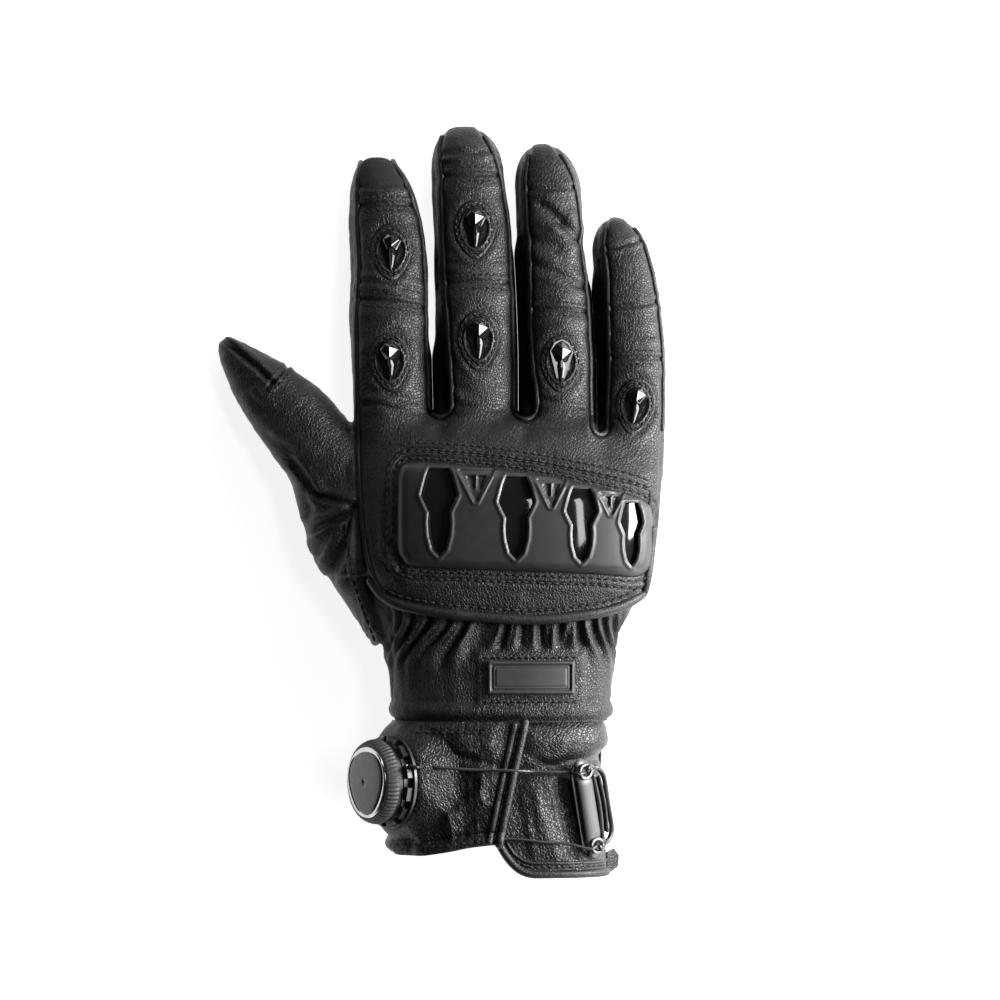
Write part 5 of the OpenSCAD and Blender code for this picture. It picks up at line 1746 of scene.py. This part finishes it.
knots += [section(-107.4, 117, lace_under - 0.6), section(-104.4, 127, lace_under - 0.8),
          section(-101.6, 134, lace_under - 1)]
knots += [dp(hole[0], hole[1] - 1.6, -4.4), dp(hole[0], hole[1], -2.6), dp(hole[0], hole[1], 0.4),
          dp(hole[0], hole[1], 1.6), dp(hole[0], hole[1], 2.7)]
line = spline(knots, 0.55)
lace = sweep("lace_cord", line, 0.5, LACE, sides=10, slot="lace")
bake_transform(lace)
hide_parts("lace")

# ---------------------------------------------------------------- dial
def lathe(profile, n, ripple=None):
    """Points and faces of a profile of (radius, height) turned about the dial's axis, closed on itself."""
    p = np.array(profile, float)
    a = np.arange(n) / n * TAU
    r = np.repeat(p[:, :1], n, 1)
    if ripple is not None:
        r = r + ripple(a[None, :], p[:, 1:2], p[:, :1])
    V = np.stack([r * np.cos(a), r * np.sin(a), np.repeat(p[:, 1:], n, 1)], -1).reshape(-1, 3)
    m = len(p)
    F = grid_faces(m, n, True)
    last = np.stack([(m - 1) * n + np.arange(n), (m - 1) * n + (np.arange(n) + 1) % n,
                     (np.arange(n) + 1) % n, np.arange(n)], 1)
    return V, np.vstack([F, last])


def turned_piece(name, profile, mat, n, ripple, node):
    """A lathe-turned part of the dial, set in its place."""
    V, F = lathe(profile, n, ripple)
    o = mesh(name, dial_pt(V), F, mat)
    face_outwards(o)
    fix(o, "dial", node)


def ribs(a, z, r):
    """The grip's 60 slanted ribs."""
    return -0.42 * (0.5 + 0.5 * np.cos(a * 60 + (z - 6) * 0.5)) ** 0.7 * np.where((r > 12.7) & (z < 10),
            1.0, 0.0)


GRIP = [(12.6, 6.0), (13.5, 6.0), (13.85, 6.3), (13.9, 7.0), (13.75, 7.8), (13.5, 8.6), (13.2, 9.3),
        (12.9, 9.8), (12.5, 10.15), (12.0, 10.3), (11.3, 10.3), (11.3, 9.6), (12.5, 9.2)]
turned_piece("dial_grip_knurled", GRIP, RUBBER, 360, ribs, "dial_grip")
turned_piece("dial_knob_body", [(10.5, 6.15), (12.55, 6.15), (12.55, 10.1), (3.2, 10.1), (3.2, 7.2),
                                (4.4, 7.2), (4.4, 6.9), (10.5,
                                                         7.2)], RUBBER, 96, None, "dial_knob")


def three_cornered(a, z, r):
    """What turns a circle into a rounded triangle."""
    return r * 0.055 * np.cos(3 * (a - math.radians(150)))


def trim_ripple(a, z, r):
    return three_cornered(a, z, r) * np.where(r < 11.2, 1.0, 0.3)


turned_piece("dial_trim_ring", [(9.9, 10.0), (11.6, 10.0), (11.6, 10.45), (11.35, 10.75), (10.9, 10.9),
                                (10.4, 10.8), (9.95, 10.5)], TRIM, 144, trim_ripple, "dial_trim")
ins = [(10.05, 10.05), (10.05, 10.55), (9.8, 10.85), (9.3, 11.0), (8, 11.18), (6, 11.32), (4, 11.4),
       (2, 11.44), (0.02, 11.45), (0.02, 10.05)]
turned_piece("dial_cap_insert", ins, CAP, 144, three_cornered, "dial_insert")

# ---------------------------------------------------------------- palm armour
for name, (x, y) in (("palm_slider_thumb_side", (-4, -20)), ("palm_slider_outer_side", (46, -22))):
    V, F = lathe([(0.02, 0.0), (7.3, 0.0), (7.9, 0.1), (8.35, 0.45), (8.5, 0.9), (8.5, 1.9), (9.3, 1.95),
                  (9.6, 2.3), (9.6, 3.2), (0.02, 3.2)], 72)
    o = mesh(name + "_disc", V + np.array([x, y, 0]), F, GLOSS)
    face_outwards(o)
    fix(o, "hand", name)
patch = [(21 + sx * (22 + 6 * math.cos(a)), 4 + sy * (4 + 6 * math.sin(a)))
         for sx in (-1, 1) for sy in (-1, 1) for a in np.radians([0, 22, 45, 68, 90])]
o = hull("palm_patch_leather", [slab(patch, 0.9, 2.2)], SUEDE, 0.3)
fix(o, "hand", "palm_patch")

# CAD nodes that stay, with finished materials
KEPT = {"dial_base": GUARD, "dial_ratchet": RUBBER, "dial_axle": STEEL, "dial_spool": RUBBER,
        "dial_core": RUBBER, "lace_sleeve": RUBBER}
for name, mat in KEPT.items():
    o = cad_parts[name]
    o.data.materials.clear()
    o.data.materials.append(mat)

for who, pile in STITCHES.items():
    o = pile.build("stitches_" + who, STITCH, slot="leather")
    if who == "flap":
        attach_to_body(o, "flap")
    else:
        attach(o, who)


# ---------------------------------------------------------------- stage, lights, camera
def area(name, at, to, size, energy, size_y=None):
    d = bpy.data.lights.new(name, "AREA")
    d.energy, d.size = energy, size
    if size_y:
        d.shape, d.size_y = "RECTANGLE", size_y
    o = bpy.data.objects.new(name, d)
    bpy.context.scene.collection.objects.link(o)
    o.location = at
    o.rotation_euler = (Vector(to) - Vector(at)).to_track_quat("-Z", "Y").to_euler()


floor_mat = Mat("floor", Roughness=0.9)
floor_col = floor_mat.ramp(floor_mat.noise(3, 2), [(0.2, (0.86, 0.86, 0.86)), (0.8, (0.88, 0.88, 0.88))])
floor_mat.color(floor_col)
floor_mat.link(floor_col, floor_mat.b.inputs["Emission Color"])
floor_mat.b.inputs["Emission Strength"].default_value = 1.0
floor = mesh("floor", [(-2500, -2500, -0.4), (2500, -2500, -0.4), (2500, 2500, -0.4), (-2500, 2500, -0.4)],
             np.array([[0, 1, 2, 3]]), floor_mat.m)
area("key", (0.6, 0.1, 0.24), (0.02, 0.0, 0.02), 0.26, 17, size_y=0.46)
area("side", (0.5, -0.4, 0.16), (0.03, -0.05, 0.02), 0.2, 2.6, size_y=0.3)
area("top", (0.14, 0.6, 0.3), (0.02, 0.03, 0.02), 0.4, 1.2)
area("window", (0.3, 0.12, 0.9), (0.03, 0.0, 0.03), 0.34, 1.0, size_y=0.12)
world = bpy.data.worlds.new("world")
bpy.context.scene.world = world
world.use_nodes = True
world.node_tree.nodes["Background"].inputs["Color"].default_value = (1, 1, 1, 1)
world.node_tree.nodes["Background"].inputs["Strength"].default_value = 0.015
bpy.context.scene.view_settings.view_transform = "Standard"
cam = bpy.data.cameras.new("camera")
cam.lens, cam.sensor_width, cam.clip_end = 240, 36, 20
eye = bpy.data.objects.new("camera", cam)
bpy.context.scene.collection.objects.link(eye)
eye.location = (0.0193, 0.0008, 2.2)
eye.rotation_euler = (0, 0, 0)
bpy.context.scene.camera = eye
